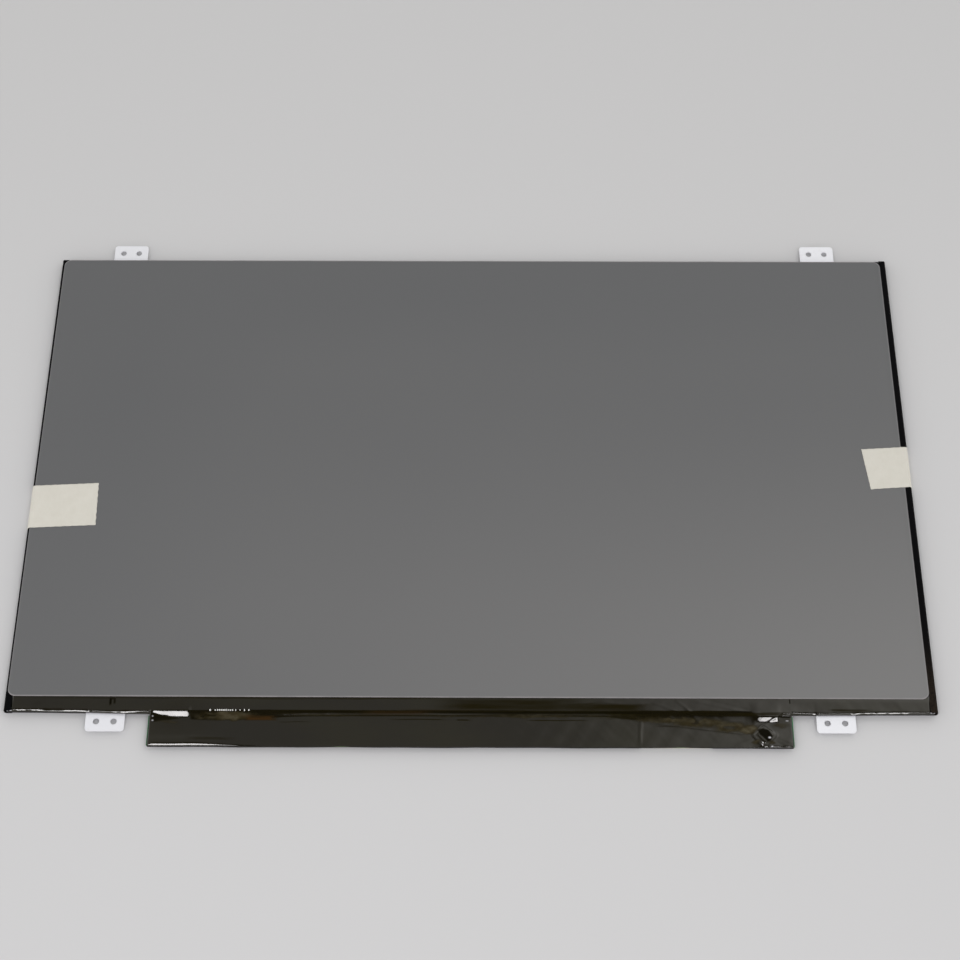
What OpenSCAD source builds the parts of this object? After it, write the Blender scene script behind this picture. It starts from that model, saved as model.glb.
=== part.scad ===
// Slim laptop screen module, lying face up with its transport film still on.
// Millimetres. X runs along the screen, Y towards its top edge, Z towards the viewer.
// The origin is the middle of the taped outline, on the plane that the back rests on.

/* [Outline] */
// Width of the picture area
active_w = 309.4; // [280:0.1:345]
// Height of the picture area
active_h = 173.95; // [155:0.05:195]
// Dark border beside the picture area, out to the edge tapes
side_border = 5.5; // [4.9:0.1:8]
// Dark border above the picture area, out to the edge tape
top_border = 5.3; // [4.7:0.05:8]
// Dark border below the picture area, out to the folded edge
bottom_border = 8.75; // [8:0.05:12]

/* [Rear cover] */
// Thickness of the folded metal sheet
sheet_t = 0.4; // [0.3:0.05:0.5]
// Inside radius of every fold
fold_r = 0.2; // [0.15:0.05:0.25]
// Depth of the step that runs round the back
rim_step = 0.3; // [0.26:0.02:0.4]
// Run of the sloping wall of that step
step_run = 0.4; // [0.3:0.05:0.6]
// Height of the folded side walls above the resting plane
wall_top = 2.3; // [2.1:0.05:2.4]
// Gap between the low fold behind the board and the emitters' tail
low_wall_gap = 0.1; // [0.05:0.01:0.15]
// Length of wall left out at each corner
corner_relief = 2; // [1:0.5:4]

/* [Ears] */
// Gap between the board's end and a lower ear
ear_board_gap = 8.2; // [4:0.1:15]
// Distance of the upper ears from the middle
upper_ear_x = 134; // [115:0.1:140]
// Width of a lower ear
lower_ear_w = 13.4; // [12:0.1:16]
// Width of an upper ear
upper_ear_w = 13; // [12:0.1:16]
// Reach of a lower ear past the outline
lower_ear_reach = 6.9; // [5.5:0.1:9]
// Reach of an upper ear past the outline
upper_ear_reach = 7.5; // [5.5:0.1:9]
// Straight stretch of wall between an ear's two folds
ear_rise = 0.1; // [0.05:0.05:0.3]
// Rounding of an ear's outer corners
ear_r = 1.1; // [0.5:0.1:2]
// Diameter of the screw holes
ear_hole_d = 2.2; // [1.8:0.1:2.6]
// Spacing of the two holes in an ear
ear_hole_pitch = 6; // [5:0.1:8]
// Distance of the holes from the ear's outer edge
ear_hole_inset = 3.5; // [2.5:0.1:4]
// Width of the slot cut beside an ear
ear_slot = 0.8; // [0.5:0.1:1.5]

/* [Moulded frame] */
// Gap between the frame and the cover's walls
frame_gap = 0.05; // [0.05:0.01:0.08]
// Thickness of the frame's upright rib
rib_t = 0.6; // [0.4:0.05:0.8]
// Gap between the rib and the glass
glass_gap = 0.15; // [0.1:0.05:0.3]
// Width of a snap hook
hook_w = 6; // [4:0.5:10]
// Reach of a snap hook into the wall's window
hook_reach = 0.3; // [0.15:0.05:0.4]
// Slack between a hook and its window
hook_slack = 0.1; // [0.05:0.05:0.2]

/* [Backlight] */
// Thickness of the reflector sheet
reflector_t = 0.2; // [0.1:0.02:0.24]
// Thickness of the light guide plate
guide_t = 0.6; // [0.5:0.05:0.65]
// Thickness of the diffuser on the light guide
lower_diffuser_t = 0.12; // [0.05:0.01:0.14]
// Thickness of one prism sheet
prism_t = 0.15; // [0.1:0.01:0.16]
// Thickness of the upper diffuser
upper_diffuser_t = 0.1; // [0.05:0.01:0.12]
// Number of light emitters
led_count = 40; // [24:1:60]
// Length of an emitter
led_l = 3.8; // [2.8:0.1:4.4]
// Depth of an emitter
led_d = 1.3; // [1:0.05:1.3]
// Height of an emitter
led_h = 0.55; // [0.4:0.05:0.55]
// Thickness of the emitters' flexible strip
led_flex_t = 0.1; // [0.08:0.01:0.12]
// Width of the strip's tail that runs to the board
led_tail_w = 12; // [8:0.5:13]

/* [Glass] */
// Thickness of each of the two glass plates
glass_t = 0.4; // [0.3:0.05:0.5]
// Ledge of the rear plate that shows below the front one
glass_ledge = 3.1; // [2.7:0.1:3.2]
// Thickness of the rear polarizer
lower_polarizer_t = 0.15; // [0.1:0.01:0.2]
// Thickness of the front polarizer
upper_polarizer_t = 0.18; // [0.15:0.01:0.2]
// Thickness of the double-sided tape under the glass
rim_tape_t = 0.06; // [0.04:0.01:0.08]

/* [Transport film] */
// Margin between the outline and the film on the left
film_left = 0.8; // [0.8:0.1:3]
// Margin between the outline and the film on the right
film_right = 2.4; // [0.8:0.1:3]
// Margin between the outline and the film above
film_above = 0.3; // [0.2:0.05:2]
// Margin between the outline and the film below
film_below = 5.15; // [4:0.05:5.5]
// Thickness of the protective film
film_t = 0.08; // [0.05:0.01:0.15]
// Rounding of the film's corners
film_r = 2.7; // [1:0.1:5]
// Turn of the film on the glass, seen from the front
film_turn = -0.07; // [-0.25:0.01:0.25]

/* [Board] */
// Width of the control board
board_w = 220.6; // [205:0.1:240]
// Height of the control board
board_h = 11.2; // [11:0.1:14]
// Thickness of the control board
board_t = 0.6; // [0.5:0.05:0.65]
// Gap between the outline and the board
board_gap = 1.2; // [1:0.1:1.6]
// Drop from the glass ledge to the board's front face
board_drop = 0.41; // [0.35:0.01:0.5]
// Number of driver films between glass and board
driver_count = 3; // [2:1:4]
// Width of a driver film
driver_film_w = 46; // [34:1:48]
// Thickness of a driver film
driver_film_t = 0.08; // [0.05:0.01:0.1]
// Size of a driver chip along the screen
driver_chip_l = 26; // [18:1:30]
// Depth of a driver chip
driver_chip_d = 1.2; // [0.8:0.1:1.3]
// Height of a driver chip
driver_chip_h = 0.24; // [0.15:0.01:0.26]
// Side of the power inductor
inductor_w = 4; // [3:0.1:4.2]
// Height of the power inductor
inductor_h = 1; // [0.8:0.1:1.2]
// Distance of the inductor from the board's right end
inductor_end = 10.1; // [8:0.1:25]
// Number of contacts in the signal connector
contact_count = 40; // [20:2:40]
// Spacing of the contacts
contact_pitch = 0.5; // [0.4:0.1:0.5]
// Place of the signal connector along the board
connector_x = 70; // [64:1:71]

/* [Tapes] */
// Thickness of the black cover and edge tapes
tape_t = 0.1; // [0.05:0.01:0.12]
// Lap of the side tapes on the front, from the outline
side_lap = 2.6; // [1.5:0.1:3]
// Gap between the edge tapes and the step on the back
lap_gap = 0.1; // [0.1:0.1:1]
// Lap of the cover tape on the front, from the outline
cover_lap = 5.8; // [5:0.1:6.2]
// Lap of the cover tape round the board's back
board_lap = 3; // [1.5:0.1:3.2]
// Thickness of the masking tape
mask_t = 0.15; // [0.1:0.01:0.18]
// Width of the left piece of masking tape
left_mask_w = 17.2; // [10:0.1:30]
// Width of the right piece of masking tape
right_mask_w = 16.7; // [10:0.1:30]
// Reach of the left piece over the front
left_mask_reach = 24; // [10:0.5:60]
// Reach of the right piece over the front
right_mask_reach = 17; // [10:0.5:60]
// Middle of the left piece, measured along the edge
left_mask_y = -15.05; // [-60:0.05:60]
// Middle of the right piece, measured along the edge
right_mask_y = 2.2; // [-60:0.05:60]
// Slope of the left piece, rising inwards
left_mask_rise = 2.85; // [-5:0.05:5]
// Slope of the right piece, rising inwards
right_mask_rise = -3.6; // [-5:0.05:5]
// Slant of the left piece's torn end
left_mask_slant = -0.5; // [-3:0.1:3]
// Slant of the right piece's torn end
right_mask_slant = 2; // [-3:0.1:3]

/* [Hidden] */
$fn = 48;
// Overrun of cutting shapes, and how far inwards the sections of the edge are drawn
cut = 1;
deep = 20;

// Size of the module over its edge tapes, without board and ears
panel_w = active_w + 2 * side_border;
panel_h = bottom_border + active_h + top_border;

// Half sizes of the cover, the frame and the glass, from the outside in
outline_x = panel_w / 2;
outline_y = panel_h / 2;
cover_x = outline_x - tape_t;
cover_y = outline_y - tape_t;
frame_x = cover_x - sheet_t - frame_gap;
frame_y = cover_y - sheet_t - frame_gap;
rib_x = frame_x - rib_t;
rib_y = frame_y - rib_t;
glass_x = rib_x - glass_gap;
glass_y = rib_y - glass_gap;

// Picture area
active_bottom = bottom_border - outline_y;
active_top = active_bottom + active_h;

// Plan sizes of the backlight, worked outwards from the picture area
window_margin = 0.5;
sheet_margin = 1.1;
guide_margin = 1.5;
guide_clearance = 0.4;
recess_clearance = 0.2;
light_inlet = 3.25;
polarizer_margin = 1.5;
polarizer_margin_top = 2.25;
polarizer_tape_gap = 0.7;
flex_gap = 0.1;
led_gap = 0.1;
flex_border = 1;
sheet_x = active_w / 2 + sheet_margin;
sheet_bottom = active_bottom - sheet_margin;
sheet_top = active_top + sheet_margin;
guide_x = active_w / 2 + guide_margin;
guide_bottom = active_bottom - light_inlet;
guide_top = active_top + guide_margin;
led_front = guide_bottom - led_gap;
flex_top = sheet_bottom - flex_gap;
flex_bottom = led_front - led_d - flex_border;
opening_x = guide_x + guide_clearance;
opening_bottom = flex_bottom - flex_gap;
opening_top = guide_top + guide_clearance;
recess_x = opening_x + recess_clearance;
recess_bottom = opening_bottom - recess_clearance;
recess_top = opening_top + recess_clearance;
opening_r = 1;
recess_r = 1.5;

// Heights, from the resting plane to the front
fold_out = fold_r + sheet_t;
rim_top = rim_step + sheet_t;
fold_z = rim_step + fold_out;
second_fold_z = fold_z + ear_rise;
ear_z = second_fold_z + fold_out;
guide_z = sheet_t + reflector_t;
sheets_z = guide_z + guide_t;
low_wall_top = sheets_z - low_wall_gap;
lower_prism_z = sheets_z + lower_diffuser_t;
upper_prism_z = lower_prism_z + prism_t;
upper_diffuser_z = upper_prism_z + prism_t;
sheet_air = 0.08;
ledge_z = upper_diffuser_z + upper_diffuser_t + sheet_air;
lower_polarizer_z = ledge_z + rim_tape_t;
tft_z = lower_polarizer_z + lower_polarizer_t;
filter_z = tft_z + glass_t;
glass_top = filter_z + glass_t;
film_z = glass_top + upper_polarizer_t;
film_top = film_z + film_t;
rail_drop = 0.05;
rail_top = filter_z - rail_drop;

// Board, and how the tail, the driver films and the tape reach it
board_end = board_w / 2;
board_top = -outline_y - board_gap;
board_bottom = board_top - board_h;
board_front = filter_z - board_drop;
board_back = board_front - board_t;
board_clear = 1.7;
board_side = board_end + board_clear;
lower_ear_x = board_end + ear_board_gap + lower_ear_w / 2;
driver_pitch = board_w / driver_count;
driver_bond = 2.2;
driver_bend = cover_y + 0.3;
driver_run = 1.5;
driver_chip_back = -cover_y - 0.1;
tail_inset = 6;
tail_x0 = tail_inset - board_end;
tail_x1 = tail_x0 + led_tail_w;
tail_bond = 2.5;
tail_run = 0.8;
tail_slack = 0.1;
tape_air = 0.01;
deck_inset = 0.4;
deck_x = board_end - deck_inset;
deck_z = board_front + driver_film_t + tape_air;
deck_slope = 1;
ridge_air = 0.03;
ridge_z = filter_z + driver_film_t + driver_chip_h + ridge_air;
ridge_y = cover_y + 0.1;
corner_drop = 0.33;
glass_slack = 0.1;

// Chips on the board's back: place along the board, width, depth and height
backlight_chip_end = 18.3;
timing_chip = [-10, 7, 7, 0.9];
power_chip_size = [-48, 5, 5, 0.8];
backlight_chip = [board_end - backlight_chip_end, 4, 4, 0.8];
memory_chip_size = [14, 3, 4.4, 0.7];
chip_inset = 4.3;
chip_y = board_top - chip_inset;

// Two-ended parts on the board's back: length, width and height, and where their rows are
large_capacitor = [1.6, 0.8, 0.8];
small_capacitor = [1, 0.5, 0.5];
resistor = [1, 0.5, 0.35];
top_row_inset = 1.4;
low_row_inset = 6.9;
top_row_y = board_top - top_row_inset;
low_row_y = board_top - low_row_inset;
end_row = 12.3;
converter_row = 10.3;
inner_end_row = 26.3;
large_capacitor_rows = [end_row - board_end, -74, -62, -26, 30, 46];
small_capacitor_rows = [inner_end_row - board_end, -36, 2, 22, board_end - inner_end_row];
top_resistor_rows = [-74, -24, 34];
low_resistor_rows = [inner_end_row - board_end, -60, -34, 24, board_end - converter_row];

// Inductor on the board's front and the tent that the tape makes over it
inductor_inset = 6.9;
inductor_x = board_end - inductor_end;
inductor_y = board_top - inductor_inset;
tent_run = 0.9;
tent_air = 0.08;

// Signal connector
connector_d = 4.4;
connector_h = 1.1;
connector_wing = 1.6;
connector_w = (contact_count - 1) * contact_pitch + 2 * connector_wing + 1.3;
connector_y = board_bottom + 0.2;
shell_t = 0.15;
connector_z = board_back - connector_h + shell_t;
slot_h = 0.45;
slot_d = 2.6;
slot_z = connector_z + slot_h / 2;
contact_w = contact_pitch * 0.4;
contact_t = 0.12;
blade_z = slot_z + slot_h - contact_t;

// Seam between two tapes that lie side by side
tape_seam = 0.1;

// Laps of the edge tapes on the back, from the outline to just short of the step
side_back_lap = min(side_lap, outline_x - recess_x - step_run - lap_gap);
top_back_lap = outline_y - recess_top - step_run - lap_gap;
bottom_back_lap = outline_y + recess_bottom - step_run - lap_gap;

// Snap hooks in the side walls, the top wall and the lower corner walls
hook_y = [-0.32, 0, 0.32] * panel_h;
hook_x = [-0.31, -0.155, 0, 0.155, 0.31] * panel_w;
corner_hook_x = (lower_ear_x + lower_ear_w / 2 + cover_x) / 2;
hook_top = wall_top - 0.5;
hook_rise = 0.4;
shoulder = 0.45;

// Notches that keep the plates and sheets from sliding
guide_key_y = panel_h * 0.36;
guide_key_w = 5;
guide_key_d = 1.2;
sheet_tab_y = panel_h * 0.17;
sheet_tab_w = 8;
sheet_tab_d = 1.2;
key_slack = 0.3;

// Plan shapes

// Rectangle from its sides, with round corners
module plan(x0, x1, y0, y1, r) {
    translate([x0 + r, y0]) square([x1 - x0 - 2 * r, y1 - y0]);
    translate([x0, y0 + r]) square([x1 - x0, y1 - y0 - 2 * r]);
    for (x = [x0 + r, x1 - r], y = [y0 + r, y1 - r]) translate([x, y]) circle(r = r);
}

module recess_plan(grow) {
    plan(
        -recess_x - grow, recess_x + grow, recess_bottom - grow, recess_top + grow,
        recess_r + grow
    );
}

// Plate of one thickness at one height
module plate(z, t) {
    translate([0, 0, z]) linear_extrude(t) children();
}

// Draws a section (x outwards, y upwards) along an edge, from a to b
module along_right(a, b) {
    translate([0, b, 0]) rotate([90, 0, 0]) linear_extrude(b - a) children();
}

module along_top(a, b) {
    translate([a, 0, 0]) rotate([90, 0, 90]) linear_extrude(b - a) children();
}

module along_bottom(a, b) {
    mirror([0, 1, 0]) along_top(a, b) children();
}

module both_sides() {
    children();
    mirror([1, 0, 0]) children();
}

// Rear cover

// Quarter fold that turns from flat to upright, about the point at 0, 0
module fold_section() {
    intersection() {
        difference() {
            circle(r = fold_out);
            circle(r = fold_r);
        }
        translate([0, -fold_out - cut]) square([fold_out + cut, fold_out + cut]);
    }
}

// Fold and upright wall, with the wall's outer face at the given distance
module wall_section(face, top) {
    translate([face - fold_out, fold_z]) fold_section();
    translate([face - sheet_t, fold_z]) square([sheet_t, top - fold_z]);
}

// Second fold of an ear, from the wall outwards into the flat tab
module ear_section(face, reach) {
    translate([face - sheet_t, fold_z]) square([sheet_t, second_fold_z - fold_z]);
    translate([face + fold_r, second_fold_z]) rotate(180) fold_section();
    translate([face + fold_r, ear_z - sheet_t]) square([reach - fold_r, sheet_t]);
}

// Ear along the top edge, its width centred on x
module ear(x, w, reach) {
    face_reach = reach + tape_t;
    difference() {
        intersection() {
            along_top(x - w / 2, x + w / 2) ear_section(cover_y, face_reach);
            plate(0, ear_z + cut)
                plan(x - w / 2, x + w / 2, rib_y, cover_y + face_reach, ear_r);
        }
        for (side = [-1, 1])
            translate([x + side * ear_hole_pitch / 2, outline_y + reach - ear_hole_inset, 0])
                cylinder(d = ear_hole_d, h = ear_z + cut);
    }
}

// Gap in a wall where an ear grows out of it
module ear_gap(x, w) {
    translate([x - w / 2 - ear_slot, cover_y - sheet_t - cut, fold_z])
        cube([w + 2 * ear_slot, sheet_t + 2 * cut, wall_top]);
}

// Sloping wall of the stamped step; 0 is the lower sheet's outer edge
module step_section(overlap) {
    thinning = sheet_t * tan(atan2(rim_step, step_run) / 2);
    polygon([
        [-overlap, 0], [0, 0], [step_run, rim_step], [step_run + overlap, rim_step],
        [step_run + overlap, rim_top], [step_run - thinning, rim_top],
        [-thinning, sheet_t], [-overlap, sheet_t]
    ]);
}

// Carries a section round the recess, with true arcs at its corners
module round_recess() {
    straight_x = recess_x - recess_r;
    low_y = recess_bottom + recess_r;
    high_y = recess_top - recess_r;
    along_right(low_y, high_y) translate([recess_x, 0]) children();
    mirror([1, 0, 0]) along_right(low_y, high_y) translate([recess_x, 0]) children();
    along_top(-straight_x, straight_x) translate([recess_top, 0]) children();
    along_bottom(-straight_x, straight_x) translate([-recess_bottom, 0]) children();
    corners = [
        [straight_x, high_y, 0], [-straight_x, high_y, 0],
        [-straight_x, low_y, 0], [straight_x, low_y, 0]
    ];
    for (i = [0 : 3])
        translate(corners[i]) rotate(90 * i)
            rotate_extrude(angle = 90) translate([recess_r, 0]) children();
}

module rear_floor() {
    lap = 1;
    plate(0, sheet_t) recess_plan(-lap / 2);
    round_recess() step_section(lap);
    plate(rim_step, sheet_t) difference() {
        square([2 * (cover_x - fold_out), 2 * (cover_y - fold_out)], center = true);
        recess_plan(step_run + lap / 2);
    }
}

module rear_walls() {
    side_end = cover_y - corner_relief;
    top_end = cover_x - corner_relief;
    both_sides() along_right(-side_end, side_end) wall_section(cover_x, wall_top);
    along_bottom(-board_side, board_side) wall_section(cover_y, low_wall_top);
    difference() {
        union() {
            along_top(-top_end, top_end) wall_section(cover_y, wall_top);
            both_sides() along_bottom(board_side, top_end) wall_section(cover_y, wall_top);
        }
        both_sides() {
            ear_gap(upper_ear_x, upper_ear_w);
            mirror([0, 1, 0]) ear_gap(lower_ear_x, lower_ear_w);
        }
    }
}

// Windows that the frame's hooks snap into
module hook_windows() {
    window_w = hook_w + 2 * hook_slack;
    window_h = hook_rise + 2 * hook_slack;
    window_z = hook_top - hook_rise - hook_slack;
    depth = sheet_t + 2 * cut;
    both_sides() {
        for (y = hook_y)
            translate([cover_x - sheet_t - cut, y - window_w / 2, window_z])
                cube([depth, window_w, window_h]);
        translate([corner_hook_x - window_w / 2, -cover_y - cut, window_z])
            cube([window_w, depth, window_h]);
    }
    for (x = hook_x)
        translate([x - window_w / 2, cover_y - sheet_t - cut, window_z])
            cube([window_w, depth, window_h]);
}

module rear_cover() {
    color("lightsteelblue") {
        rear_floor();
        difference() {
            rear_walls();
            hook_windows();
        }
        both_sides() {
            ear(upper_ear_x, upper_ear_w, upper_ear_reach);
            mirror([0, 1, 0]) ear(lower_ear_x, lower_ear_w, lower_ear_reach);
        }
    }
}

// Moulded frame

module opening_plan() {
    plan(-opening_x, opening_x, opening_bottom, opening_top, opening_r);
}

// Wedge that slides down the wall and catches in its window; 0 is the frame's face
module hook_section(face) {
    polygon([
        [face - cut, hook_top - hook_rise], [face, hook_top - hook_rise],
        [face + hook_reach, hook_top - hook_slack], [face + hook_reach, hook_top],
        [face - cut, hook_top]
    ]);
}

module frame_hooks() {
    both_sides() {
        for (y = hook_y) along_right(y - hook_w / 2, y + hook_w / 2) hook_section(frame_x);
        along_bottom(corner_hook_x - hook_w / 2, corner_hook_x + hook_w / 2)
            hook_section(frame_y);
    }
    for (x = hook_x) along_top(x - hook_w / 2, x + hook_w / 2) hook_section(frame_y);
}

// Chamfer that clears the cover's fold along all four lower edges
module frame_chamfers() {
    size = fold_r + 0.1;
    x_run = frame_x + cut;
    y_run = frame_y + cut;
    both_sides() along_right(-y_run, y_run) chamfer_section(frame_x, size);
    along_top(-x_run, x_run) chamfer_section(frame_y, size);
    along_bottom(-x_run, x_run) chamfer_section(frame_y, size);
}

module chamfer_section(face, size) {
    polygon([
        [face - size, rim_top - cut], [face - size, rim_top], [face, rim_top + size],
        [face + cut, rim_top + size], [face + cut, rim_top - cut]
    ]);
}

// Pockets for the sheets' tabs, cut into the frame's inner face
module sheet_tab_pockets() {
    pocket_w = sheet_tab_w + 2 * key_slack;
    pocket_end = sheet_x + sheet_tab_d + key_slack;
    for (y = [-sheet_tab_y, sheet_tab_y])
        translate([opening_x - cut, y - pocket_w / 2, sheets_z - sheet_air])
            cube([pocket_end - opening_x + cut, pocket_w, ledge_z]);
}

// Keys that stand in the light guide's notches
module guide_keys() {
    reach = opening_x - guide_x + guide_key_d - key_slack;
    for (y = [-guide_key_y, guide_key_y])
        translate([opening_x - reach, y - guide_key_w / 2, rim_top])
            cube([reach + cut, guide_key_w, sheets_z - sheet_air - rim_top]);
}

module mold_frame() {
    tail_room = 1;
    color("#202226") {
        difference() {
            union() {
                plate(rim_top, ledge_z - rim_top)
                    plan(-frame_x, frame_x, -frame_y, frame_y, opening_r);
                plate(ledge_z, glass_top - ledge_z) difference() {
                    plan(-frame_x, frame_x, -frame_y, frame_y, opening_r);
                    square([2 * rib_x, 2 * rib_y], center = true);
                }
            }
            plate(0, film_top) opening_plan();
            translate([-rib_x, -frame_y - cut, rail_top])
                cube([2 * rib_x, rib_t + 2 * cut, glass_top]);
            translate([tail_x0 - tail_room, -frame_y - cut, sheets_z - sheet_air])
                cube([
                    led_tail_w + 2 * tail_room, frame_y + opening_bottom + 2 * cut,
                    led_flex_t + 2 * sheet_air
                ]);
            frame_chamfers();
            both_sides() sheet_tab_pockets();
        }
        frame_hooks();
        both_sides() guide_keys();
    }
}

// Backlight

module reflector_sheet() {
    color("white") plate(sheet_t, reflector_t)
        plan(-guide_x, guide_x, guide_bottom, guide_top, opening_r);
}

module light_guide_plate() {
    notch_w = guide_key_w + 2 * key_slack;
    color("#d8ecec") plate(guide_z, guide_t) difference() {
        plan(-guide_x, guide_x, guide_bottom, guide_top, opening_r / 2);
        for (x = [-guide_x, guide_x], y = [-guide_key_y, guide_key_y])
            translate([x, y]) square([2 * guide_key_d, notch_w], center = true);
    }
}

// Flexible strip over the emitters, with a tail that passes out under the board
module led_flex() {
    rise = board_back - led_flex_t - sheets_z;
    rise_start = -board_top - tail_run - tail_slack;
    rise_end = -board_top - tail_slack;
    tail_end = tail_bond - board_top;
    color("#c98a2e") {
        plate(sheets_z, led_flex_t) plan(-sheet_x, sheet_x, flex_bottom, flex_top, 0.5);
        along_bottom(tail_x0, tail_x1) polygon([
            [-flex_bottom - cut, sheets_z], [rise_start, sheets_z], [rise_end, sheets_z + rise],
            [tail_end, sheets_z + rise], [tail_end, board_back], [rise_end, board_back],
            [rise_start, sheets_z + led_flex_t], [-flex_bottom - cut, sheets_z + led_flex_t]
        ]);
    }
}

// Side-shining emitter: a pale body with its lens window towards the light guide
module led_package() {
    wall = 0.12;
    lens_depth = 0.1;
    difference() {
        translate([-led_l / 2, -led_d, 0]) cube([led_l, led_d, led_h]);
        translate([-led_l / 2 + 3 * wall, -lens_depth, wall])
            cube([led_l - 6 * wall, lens_depth + cut, led_h - 2 * wall]);
    }
}

module led_packages() {
    pitch = active_w / led_count;
    color("#f4ecc0") for (i = [0 : led_count - 1])
        translate([(i - (led_count - 1) / 2) * pitch, led_front, sheets_z - led_h])
            led_package();
}

// Optical sheet with two locating tabs on each side
module optical_sheet(z, t) {
    plate(z, t) {
        plan(-sheet_x, sheet_x, sheet_bottom, sheet_top, 0.5);
        for (x = [-1, 1], y = [-sheet_tab_y, sheet_tab_y])
            translate([x * sheet_x, y]) square([2 * sheet_tab_d, sheet_tab_w], center = true);
    }
}

module lower_diffuser() {
    color("#eef0f2") optical_sheet(sheets_z, lower_diffuser_t);
}

module lower_prism_sheet() {
    color("#dde4ea") optical_sheet(lower_prism_z, prism_t);
}

module upper_prism_sheet() {
    color("#d2dbe4") optical_sheet(upper_prism_z, prism_t);
}

module upper_diffuser() {
    color("#f3f3f1") optical_sheet(upper_diffuser_z, upper_diffuser_t);
}

// Light-tight double-sided tape between the frame's ledge and the glass
module rim_tape() {
    inset = 0.1;
    window_x = active_w / 2 + window_margin;
    color("#15161a") plate(ledge_z, rim_tape_t) difference() {
        square([2 * (glass_x - inset), 2 * (glass_y - inset)], center = true);
        plan(
            -window_x, window_x, active_bottom - window_margin, active_top + window_margin, 0.3
        );
    }
}

// Glass

module polarizer(z, t) {
    x = active_w / 2 + polarizer_margin;
    bottom = cover_lap + polarizer_tape_gap - outline_y;
    plate(z, t) plan(-x, x, bottom, active_top + polarizer_margin_top, 0.6);
}

module lower_polarizer() {
    color("#4a4d52") polarizer(lower_polarizer_z, lower_polarizer_t);
}

module tft_glass() {
    color("#8fa5a0") plate(tft_z, glass_t) plan(-glass_x, glass_x, -glass_y, glass_y, 0.4);
}

module color_filter_glass() {
    color("#7f9690") plate(filter_z, glass_t)
        plan(-glass_x, glass_x, glass_ledge - glass_y, glass_y, 0.4);
}

module upper_polarizer() {
    color("#2c2d30") polarizer(glass_top, upper_polarizer_t);
}

module protective_film() {
    middle = [film_left - film_right, film_below - film_above] / 2;
    color("#9a9a9b") translate(middle) rotate([0, 0, film_turn]) translate(-middle)
        plate(film_z, film_t) plan(
            film_left - outline_x, outline_x - film_right,
            film_below - outline_y, outline_y - film_above, film_r
        );
}

// Board

function driver_x(i) = (i - (driver_count - 1) / 2) * driver_pitch;

// Film that leaves the glass ledge flat, clears the frame and drops to the board
module driver_films() {
    bond = glass_y - driver_bond;
    bend = driver_bend;
    land = bend + driver_run;
    tip = land + driver_bond;
    color("#b8862c") for (i = [0 : driver_count - 1])
        along_bottom(driver_x(i) - driver_film_w / 2, driver_x(i) + driver_film_w / 2)
            polygon([
                [bond, filter_z], [bend, filter_z], [land, board_front], [tip, board_front],
                [tip, board_front + driver_film_t], [land, board_front + driver_film_t],
                [bend, filter_z + driver_film_t], [bond, filter_z + driver_film_t]
            ]);
}

module driver_chips() {
    color("#2a2b30") for (i = [0 : driver_count - 1])
        translate([driver_x(i) - driver_chip_l / 2, driver_chip_back, filter_z + driver_film_t])
            cube([driver_chip_l, driver_chip_d, driver_chip_h]);
}

module control_board() {
    color("#1f6b3c") plate(board_back, board_t)
        plan(-board_end, board_end, board_bottom, board_top, 0.5);
}

// Moulded chip on the board's back, bevelled round its outer face
module chip(size) {
    w = size[1];
    d = size[2];
    h = size[3];
    bevel = 0.12;
    translate([size[0], chip_y, board_back - h]) difference() {
        translate([-w / 2, -d / 2, 0]) cube([w, d, h]);
        for (turn = [0 : 90 : 270]) rotate([0, 0, turn]) {
            half = (turn % 180 == 0 ? d : w) / 2;
            run = w + d;
            translate([-run / 2, 0, 0]) rotate([90, 0, 90]) linear_extrude(run) polygon([
                [half - bevel, -cut], [half + cut, -cut], [half + cut, bevel], [half, bevel],
                [half - bevel, 0]
            ]);
        }
    }
}

module timing_controller() {
    color("#222326") chip(timing_chip);
}

module power_chip() {
    color("#26272a") chip(power_chip_size);
}

module backlight_driver_chip() {
    color("#26272a") chip(backlight_chip);
}

module memory_chip() {
    color("#26272a") chip(memory_chip_size);
}

// Row of two-ended parts on the board's back, each a little fuller at its metal ends
module part_row(x, y, count, size) {
    l = size[0];
    w = size[1];
    h = size[2];
    pitch = w * 2.4;
    plating = 0.02;
    end_l = l * 0.22;
    for (i = [0 : count - 1])
        translate([x + (i - (count - 1) / 2) * pitch, y, board_back - h]) {
            translate([-w / 2, end_l - l / 2, plating]) cube([w, l - 2 * end_l, h - plating]);
            for (side = [-1, 1])
                translate([-w / 2 - plating, side * (l - end_l) / 2 - end_l / 2, 0])
                    cube([w + 2 * plating, end_l, h]);
        }
}

module ceramic_capacitors() {
    color("#b79a6b") {
        for (x = large_capacitor_rows) part_row(x, chip_y, 4, large_capacitor);
        for (x = small_capacitor_rows) part_row(x, top_row_y, 5, small_capacitor);
    }
}

module chip_resistors() {
    color("#1b1b1d") {
        for (x = top_resistor_rows) part_row(x, top_row_y, 6, resistor);
        for (x = low_resistor_rows) part_row(x, low_row_y, 5, resistor);
    }
}

// Shielded inductor on the board's front: a round waist between two square flanges
module power_inductor() {
    flange = inductor_h * 0.25;
    color("#3a3a3e") translate([inductor_x, inductor_y, board_front]) rotate([0, 0, 45]) {
        for (z = [0, inductor_h - flange])
            plate(z, flange) plan(
                -inductor_w / 2, inductor_w / 2, -inductor_w / 2, inductor_w / 2, 0.5
            );
        cylinder(d = inductor_w * 0.86, h = inductor_h);
    }
}

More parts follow.
